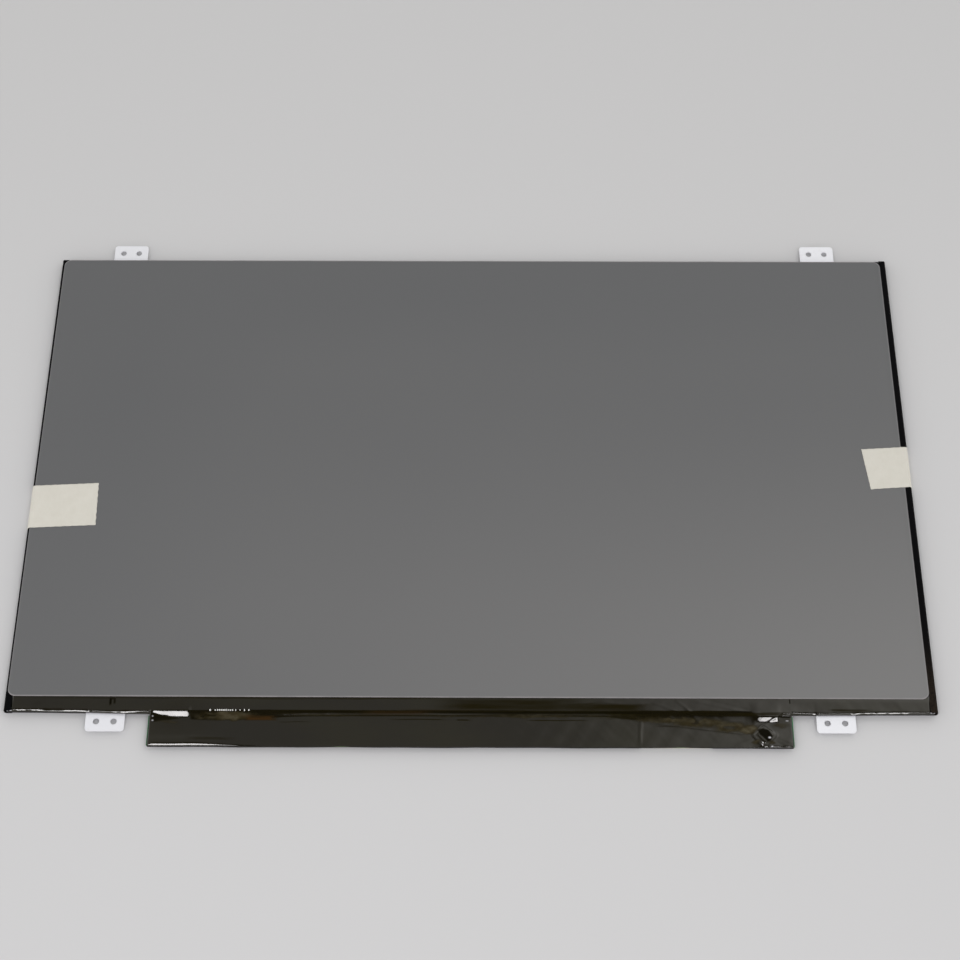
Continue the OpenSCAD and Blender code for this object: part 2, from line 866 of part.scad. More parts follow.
// Low receptacle at the board's lower edge, open downwards for the cable's plug
module connector_housing() {
    color("#e9e4d6") difference() {
        translate([connector_x - connector_w / 2, connector_y, connector_z])
            cube([connector_w, connector_d, connector_h - shell_t]);
        translate([connector_x - connector_w / 2 + connector_wing, connector_y - cut, slot_z])
            cube([connector_w - 2 * connector_wing, slot_d + cut, slot_h]);
        for (i = [0 : contact_count - 1])
            translate([contact_x(i), connector_y + slot_d - cut, blade_z])
                cube([contact_w, connector_d, contact_t]);
    }
}

// Stamped shield on the receptacle's back, folded down at both ends
module connector_shell() {
    half = connector_w / 2 + shell_t;
    lance_w = 3;
    lance_d = 1;
    color("#c4c7cb") translate([connector_x, connector_y, board_back - connector_h]) {
        difference() {
            translate([-half, 0, 0]) cube([2 * half, connector_d, shell_t]);
            for (x = [-half / 2, half / 2])
                translate([x - lance_w / 2, (connector_d - lance_d) / 2, -cut])
                    cube([lance_w, lance_d, shell_t + 2 * cut]);
        }
        for (x = [-half, half - shell_t])
            translate([x, 0, 0]) cube([shell_t, connector_d, connector_h]);
    }
}

function contact_x(i) =
    connector_x + (i - (contact_count - 1) / 2) * contact_pitch - contact_w / 2;

// Contact springs: a blade in the slot, out through the back wall, and a foot on the board
module connector_contacts() {
    tip = connector_y + 0.6;
    back = connector_y + connector_d;
    foot_end = back + 1.1;
    foot_z = board_back - contact_t;
    color("#d8b25a") for (i = [0 : contact_count - 1])
        translate([contact_x(i), 0, 0]) rotate([90, 0, 90]) linear_extrude(contact_w)
            polygon([
                [tip, blade_z], [back + 0.3, blade_z], [back + 0.5, foot_z],
                [foot_end, foot_z], [foot_end, board_back], [back + 0.4, board_back],
                [back + 0.2, blade_z + contact_t], [tip, blade_z + contact_t]
            ]);
}

// Tapes

// Section of the taped edge, grown outwards by grow and upwards to top; 0 is the wall's face
module edge_section(face, grow, top) {
    translate([face - deep, fold_z]) square([deep + grow, wall_top - fold_z]);
    translate([face - fold_out, fold_z]) circle(r = fold_out + grow);
    translate([face - deep, rim_step - grow])
        square([deep - fold_out, fold_z - rim_step + grow]);
    polygon([
        [face - deep, wall_top - cut], [face + grow, wall_top - cut], [face + grow, wall_top],
        [face + grow - shoulder, top], [face - deep, top]
    ]);
}

// Wrap of one thickness round that edge, with its laps measured from the outline
module wrap_section(face, inner, t, inner_top, front_lap, rear_lap) {
    line = face + tape_t;
    difference() {
        edge_section(face, inner + t, inner_top + t);
        edge_section(face, inner, inner_top);
        translate([line - front_lap - deep, fold_z]) square([deep, film_top]);
        translate([line - rear_lap - deep, -cut]) square([deep, fold_z + cut]);
    }
}

module side_tape() {
    along_right(-cover_y, cover_y)
        wrap_section(cover_x, 0, tape_t, glass_top, side_lap, side_back_lap);
}

module right_edge_tape() {
    color("#0c0c0e") side_tape();
}

module left_edge_tape() {
    color("#0c0c0e") mirror([1, 0, 0]) side_tape();
}

// Opening in a wrap where an ear passes through it
module ear_window(x, w) {
    room = 0.3;
    translate([x - w / 2 - room, rib_y, 0])
        cube([w + 2 * room, 2 * rib_t + sheet_t + 2 * cut, ear_z + room]);
}

module top_edge_tape() {
    end = outline_x - side_lap - tape_seam;
    color("#0c0c0e") difference() {
        along_top(-end, end)
            wrap_section(cover_y, 0, tape_t, glass_top, side_lap, top_back_lap);
        both_sides() ear_window(upper_ear_x, upper_ear_w);
    }
}

// Section under the cover tape beside the board: glass, ledge, then over the edge
module corner_base(grow) {
    intersection() {
        edge_section(cover_y, grow, glass_top + grow);
        polygon([
            [cover_y - deep, -cut], [cover_y + cut, -cut],
            [cover_y + cut, glass_top - corner_drop + grow],
            [cover_y - shoulder, glass_top - corner_drop + grow],
            [glass_y - glass_ledge + glass_slack, glass_top + grow],
            [cover_y - deep, glass_top + grow]
        ]);
    }
}

// Section under the cover tape at the board: glass, driver chips, then down to the board
module deck_base(grow) {
    polygon([
        [cover_y - deep, board_back - grow], [cover_y - deep, glass_top + grow],
        [glass_y - glass_ledge + glass_slack, glass_top + grow], [ridge_y, ridge_z + grow],
        [deck_slope - board_top, deck_z + grow], [grow - board_bottom, deck_z + grow],
        [-board_bottom + grow, board_back - grow]
    ]);
}

module corner_cover() {
    front = outline_y - cover_lap;
    difference() {
        corner_base(tape_t);
        corner_base(0);
        translate([front - deep, fold_z]) square([deep, film_top]);
        translate([outline_y - bottom_back_lap - deep, -cut]) square([deep, fold_z + cut]);
    }
}

module deck_cover() {
    front = outline_y - cover_lap;
    difference() {
        deck_base(tape_t);
        deck_base(0);
        translate([front - deep, 0]) square([deep, film_top]);
        translate([-board_bottom - board_lap - 2 * deep, -cut])
            square([2 * deep, board_back + cut + tape_t]);
    }
}

// Tent that the tape makes over the inductor, grown by its thickness
module inductor_tent(grow) {
    thin = 0.01;
    peak_z = board_front + inductor_h + tape_air;
    translate([inductor_x, inductor_y, 0]) rotate([0, 0, 45]) hull() {
        translate([0, 0, deck_z + grow - 2 * thin]) linear_extrude(thin)
            square(inductor_w + 2 * (tent_run + grow), center = true);
        translate([0, 0, peak_z + grow]) linear_extrude(thin)
            square(inductor_w + 2 * (tent_air + grow), center = true);
    }
}

module front_cover_tape() {
    end = outline_x - side_lap - tape_seam;
    room = 0.5;
    color("#3c3a35") difference() {
        union() {
            both_sides() difference() {
                along_bottom(deck_x, end) corner_cover();
                mirror([0, 1, 0]) ear_window(lower_ear_x, lower_ear_w);
            }
            along_bottom(-deck_x, deck_x) deck_cover();
            inductor_tent(tape_t);
        }
        inductor_tent(0);
        translate([connector_x - connector_w / 2 - room, board_bottom, 0])
            cube([connector_w + 2 * room, board_lap + cut, board_back]);
    }
}

// Piece of masking tape on the right-hand edge; rise is its slope going inwards
module masking_tape(y, w, reach, rise, slant) {
    fold_x = outline_x - shoulder;
    drift = (reach - shoulder) * tan(rise);
    plate(film_top, mask_t) polygon([
        [fold_x, y - w / 2], [fold_x, y + w / 2],
        [outline_x - reach, y + w / 2 + drift], [outline_x - reach + slant, y - w / 2 + drift]
    ]);
    along_right(y - w / 2, y + w / 2)
        wrap_section(cover_x, tape_t, mask_t, film_top, 2 * shoulder, side_back_lap);
}

module left_masking_tape() {
    color("#d8d3c4") mirror([1, 0, 0]) masking_tape(
        left_mask_y, left_mask_w, left_mask_reach, left_mask_rise, left_mask_slant
    );
}

module right_masking_tape() {
    color("#d8d3c4") masking_tape(
        right_mask_y, right_mask_w, right_mask_reach, right_mask_rise, right_mask_slant
    );
}

rear_cover();
mold_frame();
reflector_sheet();
light_guide_plate();
led_flex();
led_packages();
lower_diffuser();
lower_prism_sheet();
upper_prism_sheet();
upper_diffuser();
rim_tape();
lower_polarizer();
tft_glass();
color_filter_glass();
upper_polarizer();
driver_films();
driver_chips();
control_board();
timing_controller();
power_chip();
backlight_driver_chip();
memory_chip();
ceramic_capacitors();
chip_resistors();
power_inductor();
connector_housing();
connector_shell();
connector_contacts();
front_cover_tape();
left_edge_tape();
right_edge_tape();
top_edge_tape();
protective_film();
left_masking_tape();
right_masking_tape();
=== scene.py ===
"""Looks of a slim laptop screen module that lies face up with its transport film still on."""
import math
from contextlib import contextmanager
from functools import reduce

import bmesh
import bpy
import numpy as np
from mathutils import Matrix, Vector


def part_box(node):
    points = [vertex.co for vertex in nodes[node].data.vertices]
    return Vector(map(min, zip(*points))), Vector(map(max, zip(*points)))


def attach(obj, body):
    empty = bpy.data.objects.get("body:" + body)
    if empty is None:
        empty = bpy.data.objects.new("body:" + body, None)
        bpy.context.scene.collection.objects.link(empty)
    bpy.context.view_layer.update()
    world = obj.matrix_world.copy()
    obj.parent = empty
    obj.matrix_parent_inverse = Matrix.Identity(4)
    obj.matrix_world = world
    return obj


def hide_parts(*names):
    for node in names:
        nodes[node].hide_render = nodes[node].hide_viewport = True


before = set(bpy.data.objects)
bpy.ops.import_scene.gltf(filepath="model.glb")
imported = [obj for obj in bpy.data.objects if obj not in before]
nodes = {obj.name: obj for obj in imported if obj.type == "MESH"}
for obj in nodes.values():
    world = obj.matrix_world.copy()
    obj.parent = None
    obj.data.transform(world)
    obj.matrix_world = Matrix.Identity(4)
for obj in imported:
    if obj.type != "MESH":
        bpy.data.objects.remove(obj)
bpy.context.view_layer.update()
scene = bpy.context.scene

# A millimetre in metres, and the thickness of the cover tape and the masking tapes
MM = 0.001
TAPE_T = 0.1
MASK_T = 0.15


def box_mm(node):
    """Lowest and highest corner of a CAD node, in millimetres."""
    low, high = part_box(node)
    return low / MM, high / MM


# Node trees

class Wire:
    """A node's socket in an expression; its operators add Math nodes."""

    def __init__(self, graph, socket):
        self.graph = graph
        self.socket = socket

    def other(self, output):
        """Another output of the same node."""
        return Wire(self.graph, self.socket.node.outputs[output])

    def __add__(self, other):
        return self.graph.math("ADD", self, other)

    __radd__ = __add__

    def __sub__(self, other):
        return self.graph.math("SUBTRACT", self, other)

    def __rsub__(self, other):
        return self.graph.math("SUBTRACT", other, self)

    def __mul__(self, other):
        return self.graph.math("MULTIPLY", self, other)

    __rmul__ = __mul__

    def __truediv__(self, other):
        return self.graph.math("DIVIDE", self, other)

    def __rtruediv__(self, other):
        return self.graph.math("DIVIDE", other, self)

    def __abs__(self):
        return self.graph.math("ABSOLUTE", self)

    def __mod__(self, other):
        return self.graph.math("FLOORED_MODULO", self, other)


class Tree:
    """A node tree that one method fills."""

    def __init__(self, tree):
        self.tree = tree

    def add(self, kind, settings=None, inputs=None, output=0):
        """Adds a node from its type, its settings, and the values or wires of its sockets."""
        made = self.tree.nodes.new(kind)
        for name, value in (settings or {}).items():
            setattr(made, name, value)
        for key, value in (inputs or {}).items():
            if isinstance(value, Wire):
                self.tree.links.new(value.socket, made.inputs[key])
            else:
                made.inputs[key].default_value = value
        return Wire(self, made.outputs[output]) if len(made.outputs) else None


class Graph(Tree):
    """Node tree of one material or of the world."""

    def __init__(self, tree):
        super().__init__(tree)
        tree.nodes.clear()

    def math(self, operation, *values):
        return self.add("ShaderNodeMath", {"operation": operation}, dict(enumerate(values)))

    def largest(self, values):
        return reduce(lambda first, second: self.math("MAXIMUM", first, second), values)

    def length(self, a, b):
        """Length of the line whose parts along two axes are a and b."""
        return self.math("SQRT", a * a + b * b)

    def smooth(self, value, low, high):
        """0 below low and 1 above high, with a smooth step between."""
        return self.add(
            "ShaderNodeMapRange", {"interpolation_type": "SMOOTHSTEP"},
            {"Value": value, "From Min": low, "From Max": high},
        )

    def band(self, value, low, high, soft):
        """1 between low and high, fading to 0 over soft."""
        rise = self.smooth(value, low - soft, low)
        return rise * (1 - self.smooth(value, high, high + soft))

    def place(self, stretch=(1, 1, 1)):
        """Object coordinates in millimetres, divided by a stretch."""
        point = self.add("ShaderNodeTexCoord", output="Object")
        scale = tuple(1 / (MM * s) for s in stretch)
        return self.add(
            "ShaderNodeMapping", {"vector_type": "POINT"}, {"Vector": point, "Scale": scale},
        )

    def axes(self):
        """X, Y and Z in millimetres."""
        split = self.add("ShaderNodeSeparateXYZ", inputs={"Vector": self.place()})
        return [split.other(i) for i in range(3)]

    def noise(self, size, detail=2, rough=0.5, stretch=(1, 1, 1), shift=0):
        """Noise whose grains are about size millimetres across."""
        return self.add(
            "ShaderNodeTexNoise", {"noise_dimensions": "4D"},
            {
                "Vector": self.place(stretch), "W": shift, "Scale": 1 / size,
                "Detail": detail, "Roughness": rough,
            },
        )

    def cells(self, size, jitter):
        return self.add(
            "ShaderNodeTexVoronoi", None,
            {"Vector": self.place(), "Scale": 1 / size, "Randomness": jitter},
        )

    def colour(self, value):
        """What a colour socket takes: a wire as it is, or red, green and blue with their alpha."""
        return value if isinstance(value, Wire) else (*value, 1)

    def mix(self, factor, first, second):
        """Mixes two colours."""
        inputs = {0: factor, 6: self.colour(first), 7: self.colour(second)}
        return self.add("ShaderNodeMix", {"data_type": "RGBA"}, inputs, output=2)

    def bump(self, height, depth):
        """A bump that is depth millimetres high where height is 1."""
        return self.add(
            "ShaderNodeBump", None, {"Height": height, "Distance": depth * MM, "Strength": 1.0},
        )

    def surface(self, base, rough, height=None, depth=0.02, metallic=0.0, **constants):
        """Closes a material; height is a bump in millimetres of depth."""
        inputs = {"Base Color": self.colour(base), "Roughness": rough, "Metallic": metallic}
        for name, value in constants.items():
            inputs[name.replace("_", " ").title().replace("Ior", "IOR")] = value
        if height is not None:
            inputs["Normal"] = self.bump(height, depth)
        body = self.add("ShaderNodeBsdfPrincipled", inputs=inputs)
        self.add("ShaderNodeOutputMaterial", inputs={"Surface": body})


def material(build):
    """Makes a material, named after the function that draws it."""
    made = bpy.data.materials.new(build.__name__)
    made.use_nodes = True
    build(Graph(made.node_tree))
    return made


# Finishes of the metal and the mouldings

def cover_metal(g):
    """Rolled steel with fine lines along its length, faint smudges and rubbed spots."""
    lines = g.noise(0.35, 3, 0.6, stretch=(40, 1, 1))
    smudge = g.noise(14, 4, 0.6)
    rubbed = g.smooth(g.noise(2.2, shift=4), 0.62, 0.72)
    tone = g.mix(smudge, (0.87, 0.88, 0.92), (0.93, 0.94, 0.98))
    tone = g.mix(rubbed * 0.12, tone, (0.70, 0.69, 0.68))
    rough = 0.40 + 0.12 * smudge + 0.08 * lines
    g.surface(tone, rough, lines, 0.006, metallic=0.4)


def frame_black(g):
    """Black moulding with the fine grain of its mould."""
    grain = g.noise(0.18, 3, 0.6)
    flow = g.noise(20)
    tone = g.mix(flow, (0.012, 0.012, 0.014), (0.022, 0.022, 0.024))
    g.surface(tone, 0.5 + 0.14 * grain, grain, 0.012)


def reflector_white(g):
    sheen = g.noise(9)
    tone = g.mix(sheen, (0.86, 0.87, 0.88), (0.93, 0.93, 0.93))
    g.surface(tone, 0.3 + 0.1 * sheen, g.noise(0.6), 0.004)


def guide_clear(g):
    """Clear acrylic with printed extraction dots."""
    dots = 1 - g.smooth(g.cells(1.1, jitter=0.15), 0.22, 0.30)
    tone = g.mix(dots, (0.70, 0.78, 0.80), (0.92, 0.94, 0.94))
    g.surface(tone, 0.12 + 0.4 * dots, dots, 0.004, coat_weight=0.2)


def flex_amber(g):
    """Amber polyimide over fine copper tracks."""
    x, y, z = g.axes()
    track = g.band((x + 3) % 0.42, 0.10, 0.26, 0.04)
    tone = g.mix(track, (0.36, 0.17, 0.035), (0.55, 0.26, 0.08))
    g.surface(tone, 0.32 - 0.08 * track, track, 0.01)


def emitter_cream(g):
    """Pale emitter bodies, yellow where the phosphor window is."""
    x, y, z = g.axes()
    low, high = box_mm("led_packages")
    window = g.smooth(y, high.y - 0.2, high.y - 0.06)
    tone = g.mix(window, (0.80, 0.78, 0.70), (0.85, 0.62, 0.12))
    g.surface(tone, 0.45 - 0.1 * window, g.noise(0.2), 0.005)


def diffuser_white(g):
    haze = g.noise(0.25)
    g.surface(g.mix(haze, (0.80, 0.82, 0.83), (0.88, 0.89, 0.89)), 0.55, haze, 0.006)


def prism_film(g):
    """Clear film ruled with fine prisms."""
    x, y, z = g.axes()
    ridge = abs((y % 0.05) - 0.025) / 0.025
    tone = g.mix(g.noise(30), (0.66, 0.71, 0.75), (0.74, 0.78, 0.81))
    g.surface(tone, 0.22 + 0.1 * ridge, ridge, 0.02)


def mount_tape_black(g):
    fibre = g.noise(0.3, 3, 0.6)
    g.surface(g.mix(fibre, (0.008, 0.008, 0.009), (0.018, 0.018, 0.02)), 0.7, fibre, 0.01)


def polarizer_dark(g):
    haze = g.noise(0.15)
    tone = g.mix(haze, (0.010, 0.010, 0.012), (0.016, 0.016, 0.018))
    g.surface(tone, 0.42 + 0.05 * haze, haze, 0.003)


def panel_glass(g):
    """Thin glass over the dark layers, with green cut edges."""
    x, y, z = g.axes()
    low, high = box_mm("tft_glass")
    edge = 1 - g.band(abs(x), -1, high.x - 0.1, 0.05) * g.band(y, low.y + 0.1, high.y - 0.1, 0.05)
    nicks = g.smooth(g.noise(0.5), 0.5, 0.7)
    tone = g.mix(edge, (0.022, 0.026, 0.026), (0.16, 0.24, 0.21))
    g.surface(tone, 0.06 + 0.4 * edge * nicks, edge * nicks, 0.02)


# Finishes of the board and what it carries

def board_green(g):
    """Green solder mask over tracks and vias, with the bare laminate at the cut edge."""
    x, y, z = g.axes()
    weave = g.noise(0.35)
    runs = g.band(y % 0.9, 0.2, 0.42, 0.04) * g.smooth(g.noise(5, 1, 0.5, (6, 1, 1)), 0.46, 0.5)
    fills = g.smooth(g.noise(6, 1, 0.4, (2.4, 1, 1), shift=7), 0.55, 0.57)
    copper = g.math("MAXIMUM", runs, fills)
    low, high = box_mm("control_board")
    face = g.band(abs(x), -1, high.x - 0.06, 0.03) * g.band(y, low.y + 0.06, high.y - 0.06, 0.03)
    side = 1 - face
    tone = g.mix(copper, (0.012, 0.085, 0.035), (0.035, 0.16, 0.07))
    tone = g.mix(weave * 0.3, tone, (0.02, 0.12, 0.05))
    tone = g.mix(side, tone, (0.10, 0.17, 0.06))
    g.surface(tone, 0.26 + 0.4 * side, copper + 0.1 * weave, 0.018)


def chip_black(g):
    """Black moulded packages, each with a small dimple at its first pin."""
    x, y, z = g.axes()
    grain = g.noise(0.12, 2, 0.6)
    marks = []
    for name in ("timing_controller", "power_chip", "backlight_driver_chip", "memory_chip"):
        low, high = box_mm(name)
        marks.append((low.x + 0.75, high.y - 0.75))
    dimple = g.largest(
        1 - g.smooth(g.length(x - mark_x, y - mark_y), 0.22, 0.28) for mark_x, mark_y in marks
    )
    tone = g.mix(grain, (0.016, 0.016, 0.017), (0.028, 0.028, 0.03))
    tone = g.mix(dimple * 0.6, tone, (0.07, 0.07, 0.07))
    g.surface(tone, 0.52 - 0.2 * dimple + 0.1 * grain, grain * 0.3 - dimple, 0.03)


def silicon_dark(g):
    saw = g.noise(0.3, 2, 0.5, (12, 1, 1))
    g.surface(g.mix(saw, (0.03, 0.03, 0.036), (0.05, 0.05, 0.058)), 0.18, saw, 0.004, metallic=0.3)


# Share of a chip part's length that each of its tinned ends takes
TINNED = 0.22


def two_ended(g, body_low, body_high, rows):
    """Chip parts with tinned ends; rows are the middle and the length of each row's parts."""
    x, y, z = g.axes()
    ends = g.largest(
        g.band(abs(y - middle), length * (0.5 - TINNED), length * 0.5 + 0.1, 0.02)
        for middle, length in rows
    )
    fleck = g.noise(0.15)
    tone = g.mix(ends, g.mix(fleck, body_low, body_high), (0.72, 0.72, 0.70))
    g.surface(tone, 0.45 - 0.12 * ends, fleck, 0.006, metallic=ends * 0.9)


def capacitor_tan(g):
    low, high = box_mm("ceramic_capacitors")
    rows = [(high.y - 0.5, 1.0), (low.y + 0.8, 1.6)]
    two_ended(g, (0.36, 0.22, 0.10), (0.46, 0.30, 0.15), rows)


def resistor_black(g):
    low, high = box_mm("chip_resistors")
    rows = [(high.y - 0.5, 1.0), (low.y + 0.5, 1.0)]
    two_ended(g, (0.012, 0.012, 0.013), (0.024, 0.024, 0.026), rows)


def ferrite_grey(g):
    pits = g.noise(0.2, 3, 0.6)
    g.surface(g.mix(pits, (0.03, 0.03, 0.032), (0.07, 0.07, 0.072)), 0.6, pits, 0.02, metallic=0.1)


def connector_ivory(g):
    grain = g.noise(0.25)
    g.surface(g.mix(grain, (0.74, 0.70, 0.60), (0.82, 0.79, 0.70)), 0.42, grain, 0.006)


def connector_steel(g):
    lines = g.noise(0.1, 2, 0.5, (25, 1, 1))
    tone = g.mix(lines, (0.62, 0.63, 0.65), (0.78, 0.79, 0.80))
    g.surface(tone, 0.26, lines, 0.004, metallic=1.0)


def contact_gold(g):
    """Contacts with gold blades and tinned feet."""
    x, y, z = g.axes()
    low, high = box_mm("connector_contacts")
    foot = g.smooth(y, high.y - 1.2, high.y - 0.9)
    wear = g.noise(0.2)
    tone = g.mix(foot, (0.83, 0.58, 0.22), (0.72, 0.72, 0.71))
    g.surface(tone, 0.2 + 0.12 * wear, wear, 0.003, metallic=1.0)


def solder_tin(g):
    grain = g.noise(0.1, 2, 0.6)
    tone = g.mix(grain, (0.60, 0.60, 0.59), (0.78, 0.78, 0.77))
    g.surface(tone, 0.3, grain, 0.008, metallic=1.0)


# Finishes of the tapes and the film

# The film's middle, its turn, half its length and width without what the turn adds, and
# the radius of its corners
film_low, film_high = box_mm("protective_film")
film_half = (film_high - film_low) / 2
FILM_MIDDLE = (film_low + film_high) / 2
FILM_TURN = math.radians(-0.07)
FILM_WIDE = film_half.x - 0.111
FILM_TALL = film_half.y - 0.190
FILM_R = 2.7

# Painted shade: places where the tape is made dull and dark so that its reflection reads dark,
# as middle X and Y, half length, half width and strength
PAINTED_SHADE_PATCHES = [
    (14, -91.4, 27, 2.5, 0.98), (47, -92.4, 16, 1.6, 0.9), (34, -92.0, 12, 1.6, 0.9),
    (74, -94.2, 17, 0.9, 0.75), (98, -94.6, 13, 0.7, 0.8), (-89.3, -95.5, 2.4, 0.5, 0.9),
    (130, -93.1, 8, 0.45, 0.7),
    (-89, -103.8, 9, 0.6, 0.45), (92, -99.3, 2.4, 0.6, 0.6), (-17.5, -96.65, 10, 0.26, 0.85),
    (-2.7, -96.77, 3.3, 0.27, 1.0), (29.5, -96.8, 11, 0.25, 0.85), (-75, -89.3, 85, 0.36, 0.6),
    (84, -99.3, 5, 0.2, 0.5), (68, -99.0, 5, 0.2, 0.6), (-60, -97.6, 6, 0.22, 0.5),
    (62, -95.6, 2.6, 0.5, 0.8), (-45, -94.2, 28, 0.75, 0.7), (30, -94.4, 42, 0.85, 0.85),
    (-8, -95.2, 62, 0.42, 0.55), (-50, -95.25, 14, 0.4, 0.7), (-27, -94.9, 16, 0.45, 0.5),
]
# Painted shade in small dents just below the film
PAINTED_DENT_SHADE = [
    (-123.65, -90.4, 0.5, 1.7, 1.0), (-122.25, -90.2, 0.45, 1.4, 0.85),
    (-122.9, -89.5, 1.0, 0.5, 0.8), (109.6, -90.0, 0.26, 1.0, 0.9),
]
# Painted reflection: brown tints where the tape bends
PAINTED_BROWN_REFLECTIONS = [
    (-72, -96.2, 5.8, 1.0, 1.1), (-25, -94.3, 13, 0.75, 0.5), (-12, -93.5, 16, 0.4, 0.3),
]
# Painted reflection: beige tints on the slopes and bends
PAINTED_BEIGE_REFLECTIONS = [
    (52, -95.6, 12, 1.0, 0.4), (66, -96.5, 13, 1.4, 0.7), (79, -97.7, 12, 2.0, 0.75),
    (89, -99.1, 8, 2.2, 0.85), (-103, -97.6, 6, 0.8, 0.3), (95.0, -99.8, 4.0, 1.9, 1.1),
    (20, -95.4, 50, 0.6, 0.4), (106, -98.5, 4, 1.2, 0.45), (97.4, -104.5, 1.4, 1.1, 0.5),
    (-84, -95.5, 14, 1.8, 1.25), (102.5, -104.5, 1.6, 0.7, 0.45), (-100, -95, 16, 9, 0.1),
    (-40, -95.2, 30, 0.5, 0.2),
]
# Gaps in that painted beige reflection
BEIGE_GAPS = [
    (-89.6, -95.4, 2.8, 0.42, 0.95), (88.8, -99.3, 2.2, 0.8, 0.7), (77.3, -97.2, 1.2, 1.0, 0.6),
    (70.0, -95.7, 2.0, 0.5, 0.6),
]
# The darkest part of the long shadow line
DEEP_PATCHES = [
    (24, -94.25, 56, 0.5, 0.8), (-52, -94.2, 18, 0.45, 0.7), (78, -94.4, 14, 0.4, 0.5),
]
# Painted highlights: small pale glints on the folds
PAINTED_GLINTS = [
    (101.8, -103.15, 0.62, 0.42, 0.9), (102.6, -106.05, 0.62, 0.35, 0.9),
    (-108.8, -95.7, 0.42, 0.42, 0.75), (-108.8, -97.2, 0.5, 0.36, 0.75),
    (108.3, -96.8, 0.85, 0.36, 0.7),
]
# Painted shade in the hollows between the folds, as convex outlines with anticlockwise corners
PAINTED_HOLLOW_SHADE = [
    [
        (97.3, -99.5), (98.7, -102.2), (101.0, -104.6), (102.1, -104.6), (102.9, -102.3),
        (101.5, -100.3),
    ],
    [(-109.0, -97.9), (-99.0, -96.5), (-106.3, -95.45), (-108.4, -95.3)],
    [(-96.4, -94.4), (-95.3, -96.6), (-92.6, -95.7), (-91.9, -93.8)],
    [(105.2, -95.8), (109.8, -95.65), (109.8, -95.0), (105.2, -95.1)],
]


def spots(g, x, y, places, oval=False):
    """Soft boxes or ovals at the given places, joined by their maximum."""

    def spot(middle_x, middle_y, half_x, half_y, strength):
        along = (x - middle_x) / half_x
        across = (y - middle_y) / half_y
        if oval:
            fade = g.smooth(g.length(along, across), 0.25, 1.15)
        else:
            fade = g.smooth(g.math("MAXIMUM", abs(along), abs(across)), 0.45, 1.15)
        return strength * (1 - fade)

    return g.largest(spot(*place) for place in places)


def painted_shade_in_hollows(g, x, y, soft):
    """1 inside the outlines where shade is painted."""

    def beyond(start, end):
        """How far a point lies outside one side of an outline."""
        run_x, run_y = (Vector(end) - Vector(start)).normalized()
        return (x - start[0]) * run_y - (y - start[1]) * run_x

    def inside(corners):
        sides = zip(corners, corners[1:] + corners[:1])
        return 1 - g.smooth(g.largest(beyond(*side) for side in sides), -soft, soft)

    return g.largest(inside(corners) for corners in PAINTED_HOLLOW_SHADE)


